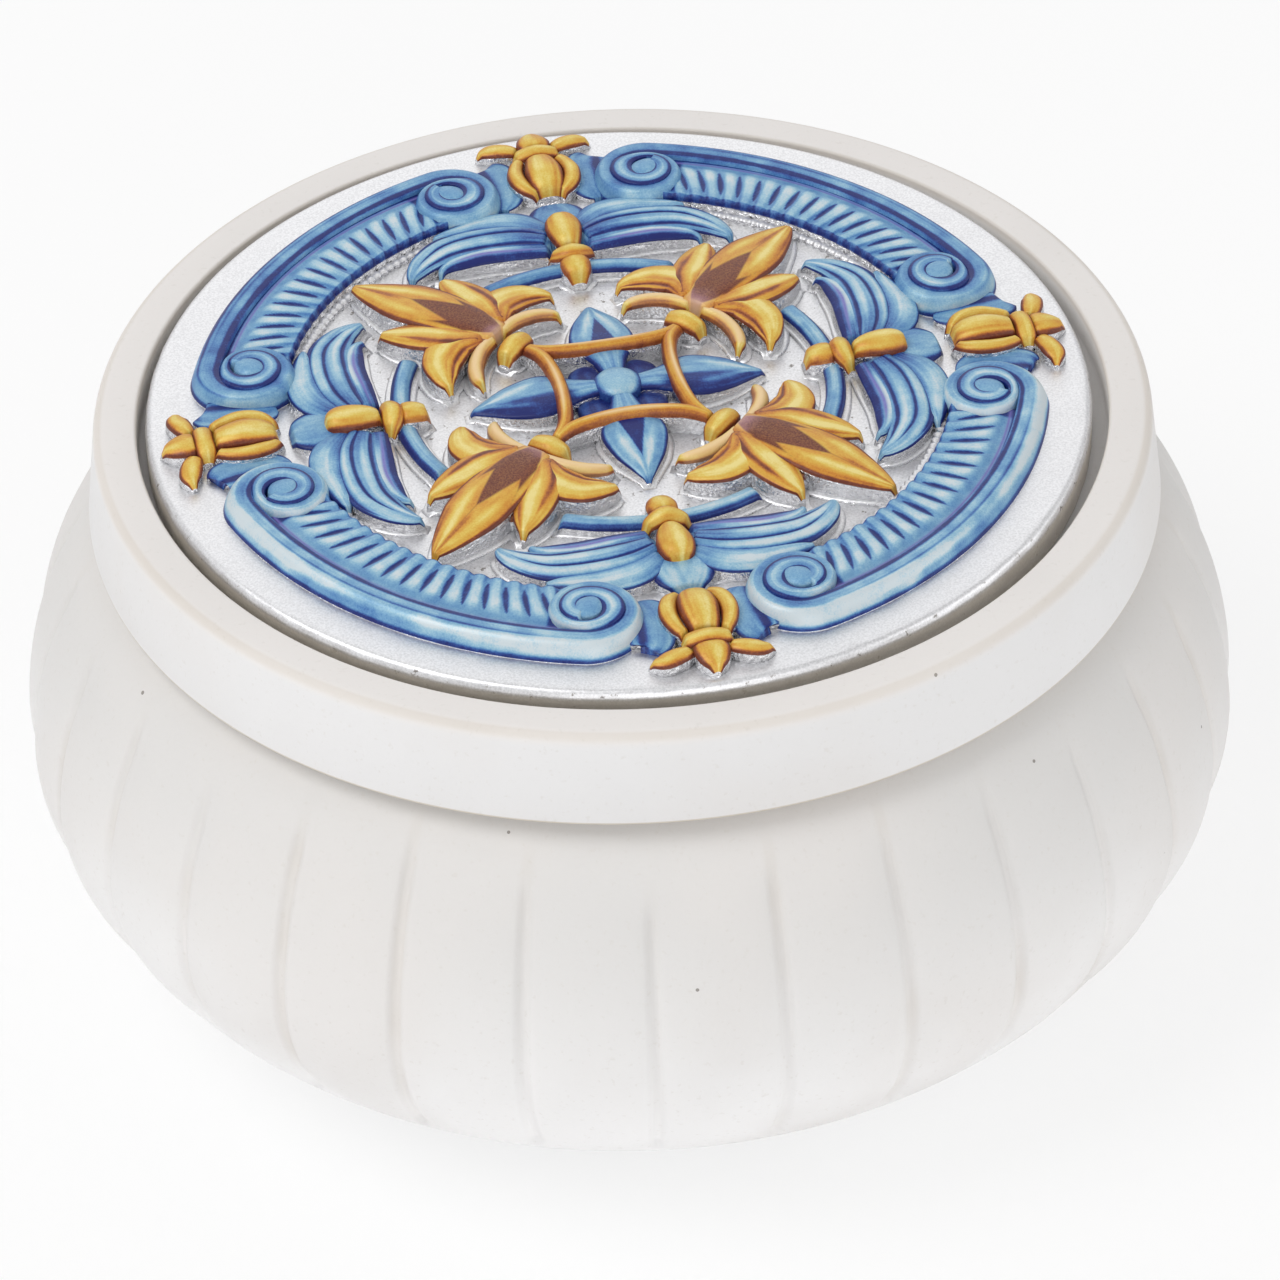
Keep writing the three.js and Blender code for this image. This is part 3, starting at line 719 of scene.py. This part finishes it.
def makeLily(angle):
    relief = Relief(angle)
    # cream on the curls and at the foot of the lance: part print, part painted highlight that grows on the
    # lily heads at the front
    creamAndFrontHighlight = 0.5 + 0.6 * relief.near
    lance = [(0, 12.4, 1.5, 2.26), (0, 16, 2.4, 2.44), (0, 19.6, 2.85, 2.36), (0, 22.6, 2.85, 2.1),
             (0, 25.2, 2.1, 1.75), (0, 27.5, 1.1, 1.4), (0, 29, 0.1, 1.1)]
    petal = [(1.1, 13.4, 1.0, 2.2), (2.7, 16.0, 1.9, 2.25), (3.6, 18.6, 2.0, 2.0), (4.4, 20.9, 1.3, 1.65),
             (5.0, 22.6, 0.1, 1.2)]
    leaf = [(0.8, 13.6, 1.1, 2.2), (3.2, 15.2, 2.0, 2.2), (5.7, 14.9, 1.95, 1.9), (7.5, 13.4, 1.15, 1.6),
            (8.3, 12.1, 0.1, 1.1)]
    curl = [(0.3, 12.9, 0.5, 2.0), (2.5, 12.85, 0.75, 2.0), (4.5, 12.1, 0.8, 1.8), (5.8, 10.95, 0.65, 1.5),
            (6.2, 9.9, 0.1, 1.0)]
    knot = [(-2.2, 10.8, 0.35, 1.0), (-1.5, 10.9, 1.0, 1.7), (0, 10.95, 1.2, 2.1), (1.5, 10.9, 1.0, 1.7),
            (2.2, 10.8, 0.35, 1.0)]
    web = [(0, 12.6, 2.0, 1.4), (0, 15, 4.8, 1.6), (0, 18, 4.9, 1.65), (0, 20.4, 4.4, 1.6),
           (0, 21.8, 2.0, 1.4)]
    relief.halo(lance, knot)
    relief.halos(petal, leaf, curl)
    relief.form(web, dict(tone=0.12, ends=False), rows=24)
    relief.both(leaf, dict(blade, root=(0.25, 0.3), lines=[
        line((-0.7, -0.6), (0.05, 0.97), 0.6, 0.1, 0.1, 0.05), line((0.3, 0.4), (0.15, 0.9), -0.3, 0.3),
        line((-0.3, -0.2), (0.0, 0.7), 0.26, 0.12)]), rows=64, columns=36)
    relief.both(petal, dict(blade, root=(0.4, 0.4), lines=[
        line((0.15, 0.05), (0.25, 0.95), -0.3, 0.24), line((-0.5, -0.35), (0.0, 0.7), 0.5, 0.14),
        line((0.6, 0.5), (0.1, 0.9), 0.3, 0.1)]), rows=60, columns=34)
    relief.both(curl, dict(gold, tone=0.64, root=(0.1, 0.05), creams=[
        line((0.15, 0.1), (0.0, 0.85), creamAndFrontHighlight, 0.6, fade=0.12)], lines=[
        line((-0.68, -0.6), (0.1, 1.0), 0.5, 0.16)]), rows=50, columns=22)
    look = dict(blade, tone=0.5, flame=lilyFlame, root=(0.1, 0.1), light=(0, 0.9, 0.06), lines=[
        line((-0.5, -0.1), (0.3, 0.98), -0.4, 0.17), line((0.5, 0.3), (0.35, 0.95), -0.34, 0.16),
        line((0.08, 0.1), (0.5, 0.95), 0.3, 0.1), line((-0.76, -0.66), (0.3, 0.95), 0.26, 0.1)], creams=[
        line((0, 0), (-0.1, 0.16), 0.7 * creamAndFrontHighlight, 0.5)])
    relief.form(lance, look, rows=140, columns=56)
    relief.form(knot, dict(gold, root=(0.2, 0.2)), rows=32, columns=26)
    return relief


# leaf pairs behind a gold clasp
blue = dict(tone=0.6, edge=(0.08, 0.9), root=(0.25, 0.3), tip=(0.1, 0.05), shoulder=0.8)


def makeLeaves(angle):
    relief = Relief(angle)
    near = relief.near
    outer = [(1.3, 24.4, 1.2, 1.3), (3.8, 26.3, 1.95, 1.35), (6.6, 26.9, 1.85, 1.3), (9.2, 26.6, 1.3, 1.2),
             (10.9, 26.4, 0.7, 1.1), (12.1, 26.2, 0.08, 0.9)]
    middle = [(1.4, 23.2, 1.2, 1.5), (4.2, 24.2, 1.9, 1.6), (7.6, 24.5, 2.1, 1.55), (10.8, 24.1, 2.0, 1.4),
              (13.1, 22.7, 1.5, 1.2), (14.4, 21.2, 0.85, 1.0), (14.9, 20.0, 0.08, 0.8)]
    inner = [(1.5, 21.9, 0.9, 1.2), (4.4, 22.2, 1.15, 1.35), (7.8, 22.5, 1.3, 1.3), (10.2, 22.1, 1.1, 1.15),
             (11.6, 21.4, 0.6, 1.0), (12.2, 20.4, 0.08, 0.8)]
    web = [(1.0, 23.8, 1.8, 1.2), (4.2, 24.4, 3.4, 1.2), (8.0, 24.3, 3.2, 1.15), (11, 23.6, 1.8, 1.05),
           (12.4, 23.0, 0.5, 0.9)]
    top = [(0, 23, 2.0, 1.1), (0, 25.4, 3.0, 1.2), (0, 27.0, 3.0, 1.15), (0, 28.4, 2.4, 1.0),
           (0, 29.3, 1.4, 0.85), (0, 29.6, 0.4, 0.7)]
    relief.halos(outer, middle, inner)
    relief.halo(top)
    for stations in (web, mirrored(web)):
        relief.form(stations, dict(tone=0.5, ends=False), rows=24)
    # painted light: tones rise with near, so the leaf pairs at the front are painted lighter than those at
    # the back
    leaf = dict(blue, tone=0.6 + 0.05 * near, edge=(0.06, 0.75), root=(0.35, 0.3))
    relief.both(outer, dict(leaf, tone=0.66 + 0.06 * near, lines=[
        line((0.72, 0.8), (0.45, 1.1), 0.7, 0.2), line((0.3, 0.2), (0.1, 0.85), -0.26, 0.3),
        line((-0.4, -0.45), (0.0, 0.8), 0.3, 0.2)]), rows=70, columns=40)
    relief.both(middle, dict(leaf, lines=[
        line((0.8, 0.72), (-0.1, 0.7), 0.8, 0.1, 0.0, 0.05), line((0.5, 0.5), (0.05, 0.97), -0.3, 0.2),
        line((0.12, -0.02), (-0.1, 0.8), 0.8, 0.07, 0.14, 0.06), line((-0.25, -0.2), (0.1, 0.97), -0.3, 0.18),
        line((-0.6, -0.5), (-0.1, 0.86), 0.8, 0.08, 0.0, 0.05)]), rows=84, columns=56)
    relief.both(inner, dict(leaf, tone=0.62, lines=[
        line((-0.7, -0.66), (-0.1, 1.05), 0.8, 0.34), line((0.66, 0.6), (-0.1, 0.9), 0.4, 0.12),
        line((0.1, 0.1), (0.1, 0.85), -0.3, 0.24)], violets=[
        line((-0.2, -0.1), (0.0, 0.75), 0.8, 0.14, fade=0.4)]), rows=74, columns=36)
    look = dict(blue, tone=0.64 + 0.14 * near, edge=(0.26, 0.8), root=(0.4, 0.45), tip=(0.3, 0.7))
    relief.form(top, look, rows=48, columns=48)
    return relief


def makeClasp(angle):
    relief = Relief(angle)
    drop = [(0, 21.0, 0.6, 1.6), (0, 22.3, 1.3, 2.3), (0, 24.2, 1.75, 2.5), (0, 25.7, 1.4, 2.3),
            (0, 26.6, 0.3, 1.4)]
    knot = [(-2.2, 20.9, 0.3, 1.0), (-1.4, 20.5, 0.9, 1.8), (0, 20.2, 1.15, 2.3), (1.4, 20.5, 0.9, 1.8),
            (2.2, 20.9, 0.3, 1.0)]
    tail = [(0, 19.8, 1.3, 1.9), (0, 18.6, 1.5, 2.0), (0, 17.5, 1.25, 1.7), (0, 16.8, 0.5, 1.1)]
    relief.halo(knot, tail)
    relief.form(tail, dict(gold, edge=(0.4, 0.4)), rows=26)
    relief.form(drop, dict(gold, light=(0.1, 0.35, 0.32), root=(0.15, 0.2)), rows=36, columns=26)
    relief.form(knot, dict(gold, lines=[line((-0.55, -0.55), (0.0, 1.0), 0.35, 0.16)]), rows=30)
    return relief


def makeStem(angle):
    relief = Relief(angle)
    stations = [(*polar(19.3, 27.3 * (i / 3 - 1)), 0.95, 0.9) for i in range(7)]
    relief.halo(stations)
    # painted light: the stem arcs at the front are painted lighter than those at the back
    look = dict(blue, tone=0.6 + 0.14 * relief.near, root=(0.05, 0.1), shoulder=0.6, lines=[
        line((0.68, 0.68), (0.0, 1.0), 0.7, 0.2, fade=0.05),
        line((-0.8, -0.8), (0.0, 1.0), 0.5, 0.12, fade=0.05), line((-0.1, -0.1), (0.1, 0.9), -0.2, 0.3)])
    relief.form(stations, look, rows=64, columns=24)
    return relief


# buds on the rim
def makeBud(angle):
    relief = Relief(angle, rimFoot)
    middle = [(0, 30.3, 1.0, 1.4), (0, 31.6, 1.6, 2.2), (0, 33.4, 1.8, 2.5), (0, 35.2, 1.5, 2.2),
              (0, 36.4, 1.1, 1.7)]
    side = [(0.9, 30.4, 0.5, 1.2), (2.15, 31.6, 0.85, 1.8), (2.6, 33.4, 0.9, 1.9),
            (2.25, 35.2, 0.75, 1.7), (1.6, 36.4, 0.5, 1.5)]
    collar = [(-2.4, 37, 0.35, 1.0), (-1.7, 37, 0.9, 1.6), (0, 37.05, 0.95, 2.0), (1.7, 37, 0.9, 1.6),
              (2.4, 37, 0.35, 1.0)]
    tip = [(0, 37.5, 1.4, 1.6), (0, 38.7, 1.65, 1.75), (0, 40, 1.2, 1.4), (0, 41, 0.1, 0.9)]
    wing = [(1.4, 37.9, 0.6, 1.2), (2.7, 38.5, 1.0, 1.4), (4.2, 38.9, 1.0, 1.2), (5.5, 38.7, 0.15, 0.8)]
    relief.both(wing, dict(gold, edge=(0.32, 0.68)), rows=30, columns=22)
    look = dict(gold, edge=(0.28, 0.66), light=(0.2, 0.4, 0.2))
    relief.form(tip, look, rows=30, columns=26)
    relief.both(side, dict(gold, edge=(0.3, 0.72)), rows=40, columns=18)
    look = dict(gold, edge=(0.24, 0.72), light=(0.1, 0.5, 0.26), lines=[
        line((-0.45, -0.45), (0.1, 0.9), 0.16, 0.08), line((0.4, 0.4), (0.1, 0.9), -0.12, 0.14)])
    relief.form(middle, look, rows=44, columns=30)
    relief.form(collar, dict(gold, edge=(0.3, 0.66)), rows=32, columns=22)
    return relief


# scroll arcs: a rail that winds into a volute at both ends, and a band of gadroons under it
scroll = dict(rail=36.6, railHalf=1.45, voluteAngle=28.7, volutePlace=32.8, arcShare=0.45,
              inner=(2.7, 3.0, 2.6, 2.2, 1.85, 1.45, 1.1, 0.8, 0.55), outer=(5.3, 4.8, 4.1, 3.4),
              heights=(1.6, 1.7, 2.0, 2.25), shoulder=0.94, roundShoulder=0.1)
ribs = dict(count=16, span=51.0, start=29.3, end=35.6, crest=1.42, valley=1.22, trough=1.1, slant=0.22,
            tone=0.64, ridge=0.2, outerGlow=0.16, innerShade=0.12, sideShade=0.22, crescent=0.74,
            endShade=0.6, footShade=0.55, lineShade=0.12, rimShade=0.6, wander=0.1)


def railPath(t):
    reach = abs(2 * t - 1)
    side = 1 if t > 0.5 else -1
    low, mid, high, top = scroll["heights"]
    if reach < scroll["arcShare"]:
        f = reach / scroll["arcShare"]
        x, y = polar(scroll["rail"] + 0.2 * f * f, f * scroll["voluteAngle"])
        return side * x, y, scroll["railHalf"] - 0.05 * f * f, low + (mid - low) * f
    quarters = (reach - scroll["arcShare"]) / (1 - scroll["arcShare"]) * 8
    inner, outer = scroll["inner"], scroll["outer"] + scroll["inner"]
    rows = [(inner[i], outer[i]) for i in range(9)]
    a, b = between(rows, quarters / 8)
    turn = math.radians(scroll["voluteAngle"] + quarters * 90)
    cx, cy = polar(scroll["volutePlace"], scroll["voluteAngle"])
    centre = (a + b) / 2
    height = mid + (high - mid) * min(1, quarters / 4) + (top - high) * max(0, quarters / 4 - 1)
    half = (b - a) / 2 * (1.08 + 0.24 * min(1, quarters / 2))
    return side * (cx + centre * math.sin(turn)), cy + centre * math.cos(turn), half, height


def makeRibs(relief):
    columns, rows = ribs["count"] * 14, 44
    made = bmesh.ops.create_grid(relief.bm, x_segments=columns, y_segments=rows, size=0.5)["verts"]
    spots = {}
    for vert in made:
        angle, depth = vert.co.x * ribs["span"], vert.co.y + 0.5
        r = ribs["start"] + (ribs["end"] - ribs["start"]) * depth
        lean = ribs["slant"] * angle * (r - 32) / 6
        phase = ((angle - lean) / ribs["span"] + 0.5) * ribs["count"]
        part = phase - math.floor(phase)
        swell = math.sin(math.pi * part)
        fade = 1 - smoothStep(r, 33.6, 34.9)
        height = ribs["trough"] + (ribs["valley"] - ribs["trough"]) * fade
        height += (ribs["crest"] - ribs["valley"]) * swell * fade
        height = rimFoot + (height - rimFoot) * smoothStep(depth, 0, 0.07)
        x, y = polar(r - 0.14 * swell * (1 - smoothStep(depth, 0, 0.2)), angle)
        if vert.is_boundary:
            height = rimFoot
        spots[vert] = (angle, r, depth, part, 2 * depth - 1)
        vert.co = (x, y, height)
    relief.close(made, {vert: spot[4] for vert, spot in spots.items()})
    for vert, (angle, r, depth, part, side) in spots.items():
        vert.normal_update()
        gap = min(part, 1 - part)
        taper = 0.14 * smoothStep(r, 30.2, 31.6) * (1 - smoothStep(r, 32.2, 34.2))
        crescent = (1 - smoothStep(gap, taper * 0.5, taper + 0.07)) * smoothStep(taper, 0.0, 0.03)
        beside = (part if part < 0.5 else part - 1) * (1 if angle > 0 else -1)
        ends = smoothStep(abs(angle), ribs["span"] / 2 - 2.6, ribs["span"] / 2 - 1.8)
        inner = 1 - smoothStep(r, 33, 34.6)
        tone = ribs["tone"] + ribs["ridge"] * bell(gap, 0.4, 0.16) * inner
        tone += ribs["outerGlow"] * math.sin(math.pi * part) * bell(r, 33.0, 0.9)
        tone -= ribs["innerShade"] * (1 - smoothStep(r, 30, 31.6))
        tone -= ribs["sideShade"] * bell(beside, -0.22, 0.1) * inner
        tone -= ribs["crescent"] * crescent + ribs["endShade"] * ends * smoothStep(r, 29.8, 30.6)
        tone -= ribs["footShade"] * (1 - smoothStep(r, 29.6, 29.9))
        tone -= ribs["lineShade"] * bell(r, 34.3, 0.4) + ribs["rimShade"] * smoothStep(r, 35.0, 35.2)
        tone += noise.noise(Vector((angle * 0.4, r * 0.8, 3))) * ribs["wander"]
        violet = bell(r, 34.9, 0.14)
        vert[relief.paint] = (min(1, max(0, tone)), 1 - smoothStep(depth, 0.02, 0.05), violet, 1)
        vert[relief.cream] = 0


def makeScroll(angle):
    relief = Relief(angle, rimFoot)
    near, far = relief.near, (1 - relief.near) / 2
    neck = [(*polar(37.0, 37.4), 0.9, 0.45), (*polar(36.5, 37.7), 1.9, 0.75), (*polar(34.4, 37.9), 2.1, 0.85),
            (*polar(32.2, 37.5), 2.1, 0.8), (*polar(30.8, 36.8), 1.5, 0.6), (*polar(30.2, 36.4), 0.5, 0.4)]
    # the dark stroke on the side towards the volute is painted shade
    look = dict(blue, tone=0.56, edge=(0.14, 0.6), root=(0.2, 0.5), shoulder=0.9, ends=False, lines=[
        line((-0.4, -0.3), (-0.1, 1.1), 0.7, 0.2)])
    relief.both(neck, look, rows=44, columns=26)
    makeRibs(relief)
    railStart, railEnd = 0.5 - scroll["arcShare"] / 2, 0.5 + scroll["arcShare"] / 2
    turn = (1 - railEnd) / 2

    def shoulderOf(across, t):  # the rail and the first turn slope to the sheet on their outer side
        inside = min(smoothStep(t, turn * 0.8, turn * 1.1), 1 - smoothStep(t, 1 - turn * 1.1, 1 - turn * 0.8))
        low = scroll["roundShoulder"] if across > 0 else scroll["shoulder"]
        return scroll["shoulder"] + (low - scroll["shoulder"]) * inside

    def volutes(across, reach, *brush, fade):  # the same stroke on the volute at each end
        return [line(across, (0.0, reach), *brush, fade=fade),
                line(across[::-1], (1 - reach, 1.0), *brush, fade=fade)]

    # painted light on the rail and volutes: the pale stroke grows on the front arcs, and most dark strokes
    # and the spiral line grow on the back arcs
    paleRail = -0.3 - 0.4 * near
    darkRail = dict(dark=0.44 - 0.34 * near, width=0.16 - 0.08 * near, fade=0.4)
    strokes = [
        line((0.86, 0.86), (turn, 1 - turn), 0.95, 0.06, fade=0.02),
        line((0.7, 0.7), (railStart + 0.02, railEnd - 0.02), **darkRail),
        line((0.45, 0.45), (turn, 0.5), paleRail, 0.26, fade=0.4),
        line((0.45, 0.45), (0.5, 1 - turn), paleRail, 0.26, fade=0.4),
        line((0.4, 0.4), (railStart - 0.06, railEnd + 0.06), 0.62 * far, 0.15),
        line((0.02, 0.02), (railStart, railEnd), 0.4 - 0.12 * far, 0.08),
        line((-0.36, -0.36), (railStart, railEnd), -0.14, 0.16, fade=0.1),
        *volutes((0.1, 0.0), turn * 1.2, -0.26, 0.26, fade=0.3),
        line((-0.66, -0.66), (0.0, 1.0), 1.0, 0.11 + 0.06 * far, fade=0.01),
        *volutes((-0.76, -0.76), turn, 0.9, 0.18, fade=0.02),
        *volutes((0.76, 0.76), turn, 0.95, 0.15, fade=0.05),
    ]

    def mottle(x, y):  # slow light and dark on the rail
        return 0.26 * noise.noise(Vector((x * 0.4, y * 0.4, 7 + near)))

    # painted light: the rail's tone rises towards the front, and south paints its slopes turned to the front
    # paler
    look = dict(tone=0.52 + 0.07 * near, edge=(0.02, 0.1), south=0.28, shoulderOf=shoulderOf,
                streak=0.16, lip=0.04, patch=mottle, lines=strokes)
    relief.form(railPath, look, rows=560, columns=44)
    look = dict(blue, ends=False, lip=0.05, edge=(0.3, 0.0), streak=0.06)
    for side in (1, -1):
        cx, cy = polar(scroll["volutePlace"], side * scroll["voluteAngle"])
        relief.form(dome(cx, cy, 1.45, 1.85, 2.3), look, rows=24, columns=20)
    bead = [(*polar(28.95, 50 * (i / 60 - 0.5)), 0.42 + 0.16 * (i % 2), 0.28 + 0.1 * (i % 2))
            for i in range(61)]
    relief.form(bead, dict(tone=0.5, bare=1.0, shoulder=0.7), rows=240, columns=8, base=-0.45)
    return relief


# rosette and the band that links the lily heads
def fourfold(relief, make):
    for turn in range(4):
        relief.angle = math.radians(90 * turn)
        start = len(relief.bm.verts)
        make()
        relief.bm.verts.ensure_lookup_table()
        bmesh.ops.rotate(relief.bm, cent=(0, 0, 0), matrix=Matrix.Rotation(relief.angle, 3, "Z"),
                         verts=relief.bm.verts[start:])
    relief.angle = 0


def makeRosette():
    relief = Relief(0)
    petal = [(0, 0.8, 0.9, 1.5), (0, 3.4, 1.5, 1.6), (0, 6.6, 3.0, 1.5), (0, 9.6, 2.45, 1.15),
             (0, 11.8, 1.2, 0.75), (0, 13.5, 0.08, 0.3)]

    def heart(x, y):  # a dark wedge up the middle, or a dark front half on the petals to the left and right
        side = math.sin(relief.angle)
        if abs(side) > 0.5:
            return 0.6 * smoothStep(-side * x, -0.1, 0.6) * smoothStep(y, 3.2, 5.0)
        half = 1.2 * (10.4 - y) / 4.6
        return 0.9 * (1 - smoothStep(abs(x), half - 0.12, half + 0.1)) * smoothStep(y, 4.4, 5.6)

    petalLook = dict(blue, tone=0.62, edge=(0.1, 0.7), root=(0.15, 0.2), tip=(0.14, 0.6), patch=heart, lines=[
        line((0.5, 0.15), (0.4, 0.86), -0.34, 0.14), line((-0.5, -0.15), (0.4, 0.86), -0.34, 0.14),
        line((0.86, 0.9), (-0.1, 0.45), 0.5, 0.26), line((-0.86, -0.9), (-0.1, 0.45), 0.5, 0.26)])

    def petalForm():
        relief.halo(petal)
        relief.form(petal, petalLook, rows=100, columns=48)

    fourfold(relief, petalForm)
    # painted shade: the dark domes stand for the shade in the hollows between the petals
    for turn in range(4):  # the dark hollows between the petals
        x, y = polar(3.2, 45 + 90 * turn)
        relief.form(dome(x, y, 1.9, 0.4, 0.7), dict(blue, tone=0.06, ends=False), rows=16, columns=12)
    look = dict(blue, tone=0.74, edge=(0.25, 0.6), ends=False, lip=0.05, streak=0.06)
    relief.form(dome(0, 0, 2.2, 1.0, 2.0), look, rows=28, columns=26)
    return relief


def makeBand():
    relief = Relief(0)
    strap = [(-7.2, 7.1, 0.65, 1.7), (-5.4, 5.9, 0.75, 2.0), (-3.0, 5.35, 0.75, 2.2), (0, 5.15, 0.75, 2.3),
             (3.0, 5.35, 0.75, 2.2), (5.4, 5.9, 0.75, 2.0), (7.2, 7.1, 0.65, 1.7)]
    look = dict(gold, tone=0.42, light=(0.1, 0.3, 0.2), edge=(0.4, 0.36), root=(0.05, 0.2), creams=[
        line((0.15, 0.15), (0.2, 0.8), 1, 0.22, fade=0.4)])
    fourfold(relief, lambda: relief.form(strap, look, rows=64, columns=20))
    return relief


def angleOf(node):  # the direction in which a piece of the relief points
    low, high = boxOf(node)
    middle = (low + high) / 2 - plaqueCentre
    return 45 * round(math.degrees(math.atan2(-middle.x, middle.y)) / 45)


motifs = [
    ("scroll_arc", makeScroll, blueEnamel, "blue_enamel"), ("bud", makeBud, goldEnamel, "gold_enamel"),
    ("stem_arc", makeStem, blueEnamel, "blue_enamel"), ("leaf_pair", makeLeaves, blueEnamel, "blue_enamel"),
    ("leaf_clasp", makeClasp, goldEnamel, "gold_enamel"), ("lily_head", makeLily, goldEnamel, "gold_enamel"),
]
for name, make, material, slot in motifs:
    for i in range(4):
        node = f"{name}_{i + 1}"
        make(angleOf(node)).place(node, material, slot)
    print(name, "made")
makeRosette().place("rosette", blueEnamel, "blue_enamel")
makeBand().place("link_band", goldEnamel, "gold_enamel")
print("relief made")


def makeBacking(node, material, sunk):
    low, high = boxOf(node)
    radius, edge = (high.x - low.x) / 2, 0.1
    middle = sheet["fieldRadius"]
    profile = [(0, low.z), *roundOff(radius - edge, low.z + edge, edge, 270, 360, 2),
               *roundOff(radius - edge, high.z - edge, edge, 0, 90, 2), (middle, high.z),
               (middle - 1.5, high.z - sunk), (0, high.z - sunk)]
    bm = turned(profile, 180)
    bmesh.ops.translate(bm, vec=((low.x + high.x) / 2 * mm, 0, 0), verts=bm.verts)
    finishPiece(node + "_disc", bm, material, "lid", node)


makeBacking("plaque_tape", tape, 0.0)
makeBacking("plaque_core", core, sheet["fieldDepth"] + 0.1)


# floor, lamps and world
studio = dict(floorSize=4.0, floor=shade(250, 250, 250), floorGlow=0.75, tent=0.5, mirrored=0.8)
lamps = [
    dict(name="key", place=(-0.55, -0.1, 0.85), size=0.6, power=3.6),
    dict(name="front", place=(0.0, -1.8, 0.22), size=1.6, power=9.9),
    dict(name="left", place=(-1.6, -0.35, 0.3), size=1.6, power=1.8),
    dict(name="right", place=(1.6, -0.55, 0.54), size=1.6, power=6.2),
    dict(name="back", place=(0.1, 0.9, 0.6), size=0.9, power=1.2),
]


def makeStudio():
    bm = bmesh.new()
    bmesh.ops.create_grid(bm, x_segments=1, y_segments=1, size=studio["floorSize"] / 2)
    mesh = bpy.data.meshes.new("floor")
    bm.to_mesh(mesh)
    bm.free()
    finish = Finish("floorPaint")
    spot = finish.place()
    seen = finish.node("LightPath", output="Is Camera Ray")
    cloth = finish.surface({"Base Color": studio["floor"], "Roughness": 0.9,
                            "Specular IOR Level": 0.1,
                            "Normal": finish.bump(finish.grain(spot, 3.0, 2), 0.02, 0.1)})
    glow = finish.node("Emission", None, {0: (1, 1, 1, 1)})
    share = studio["floorGlow"] * seen
    mesh.materials.append(finish.done(finish.node("MixShader", None, {0: share, 1: cloth, 2: glow})))
    floor = bpy.data.objects.new("floor", mesh)
    bpy.context.collection.objects.link(floor)
    for values in lamps:
        data = bpy.data.lights.new(values["name"], "AREA")
        data.shape, data.size, data.energy = "DISK", values["size"], values["power"]
        lamp = bpy.data.objects.new(values["name"], data)
        lamp.location = values["place"]
        lamp.visible_camera = False
        aim = Vector((0, 0, 0.03)) - lamp.location
        lamp.rotation_euler = aim.to_track_quat("-Z", "Y").to_euler()
        bpy.context.collection.objects.link(lamp)
    world = bpy.data.worlds.new("tent")
    bpy.context.scene.world = world
    world.use_nodes = True
    tree = world.node_tree
    tree.nodes.clear()
    path = tree.nodes.new("ShaderNodeLightPath")
    light = tree.nodes.new("ShaderNodeBackground")
    strength = None
    for ray, value in (("Is Glossy Ray", studio["mirrored"]), ("Is Camera Ray", 1)):
        level = tree.nodes.new("ShaderNodeMapRange")
        level.inputs[3].default_value = studio["tent"]
        level.inputs[4].default_value = value
        tree.links.new(path.outputs[ray], level.inputs[0])
        if strength:
            tree.links.new(strength, level.inputs[3])
        strength = level.outputs[0]
    tree.links.new(strength, light.inputs["Strength"])
    light.inputs["Color"].default_value = (1, 1, 1, 1)
    tree.links.new(light.outputs[0], tree.nodes.new("ShaderNodeOutputWorld").inputs["Surface"])


makeStudio()
bpy.context.scene.view_settings.view_transform = "Standard"
print("studio made")
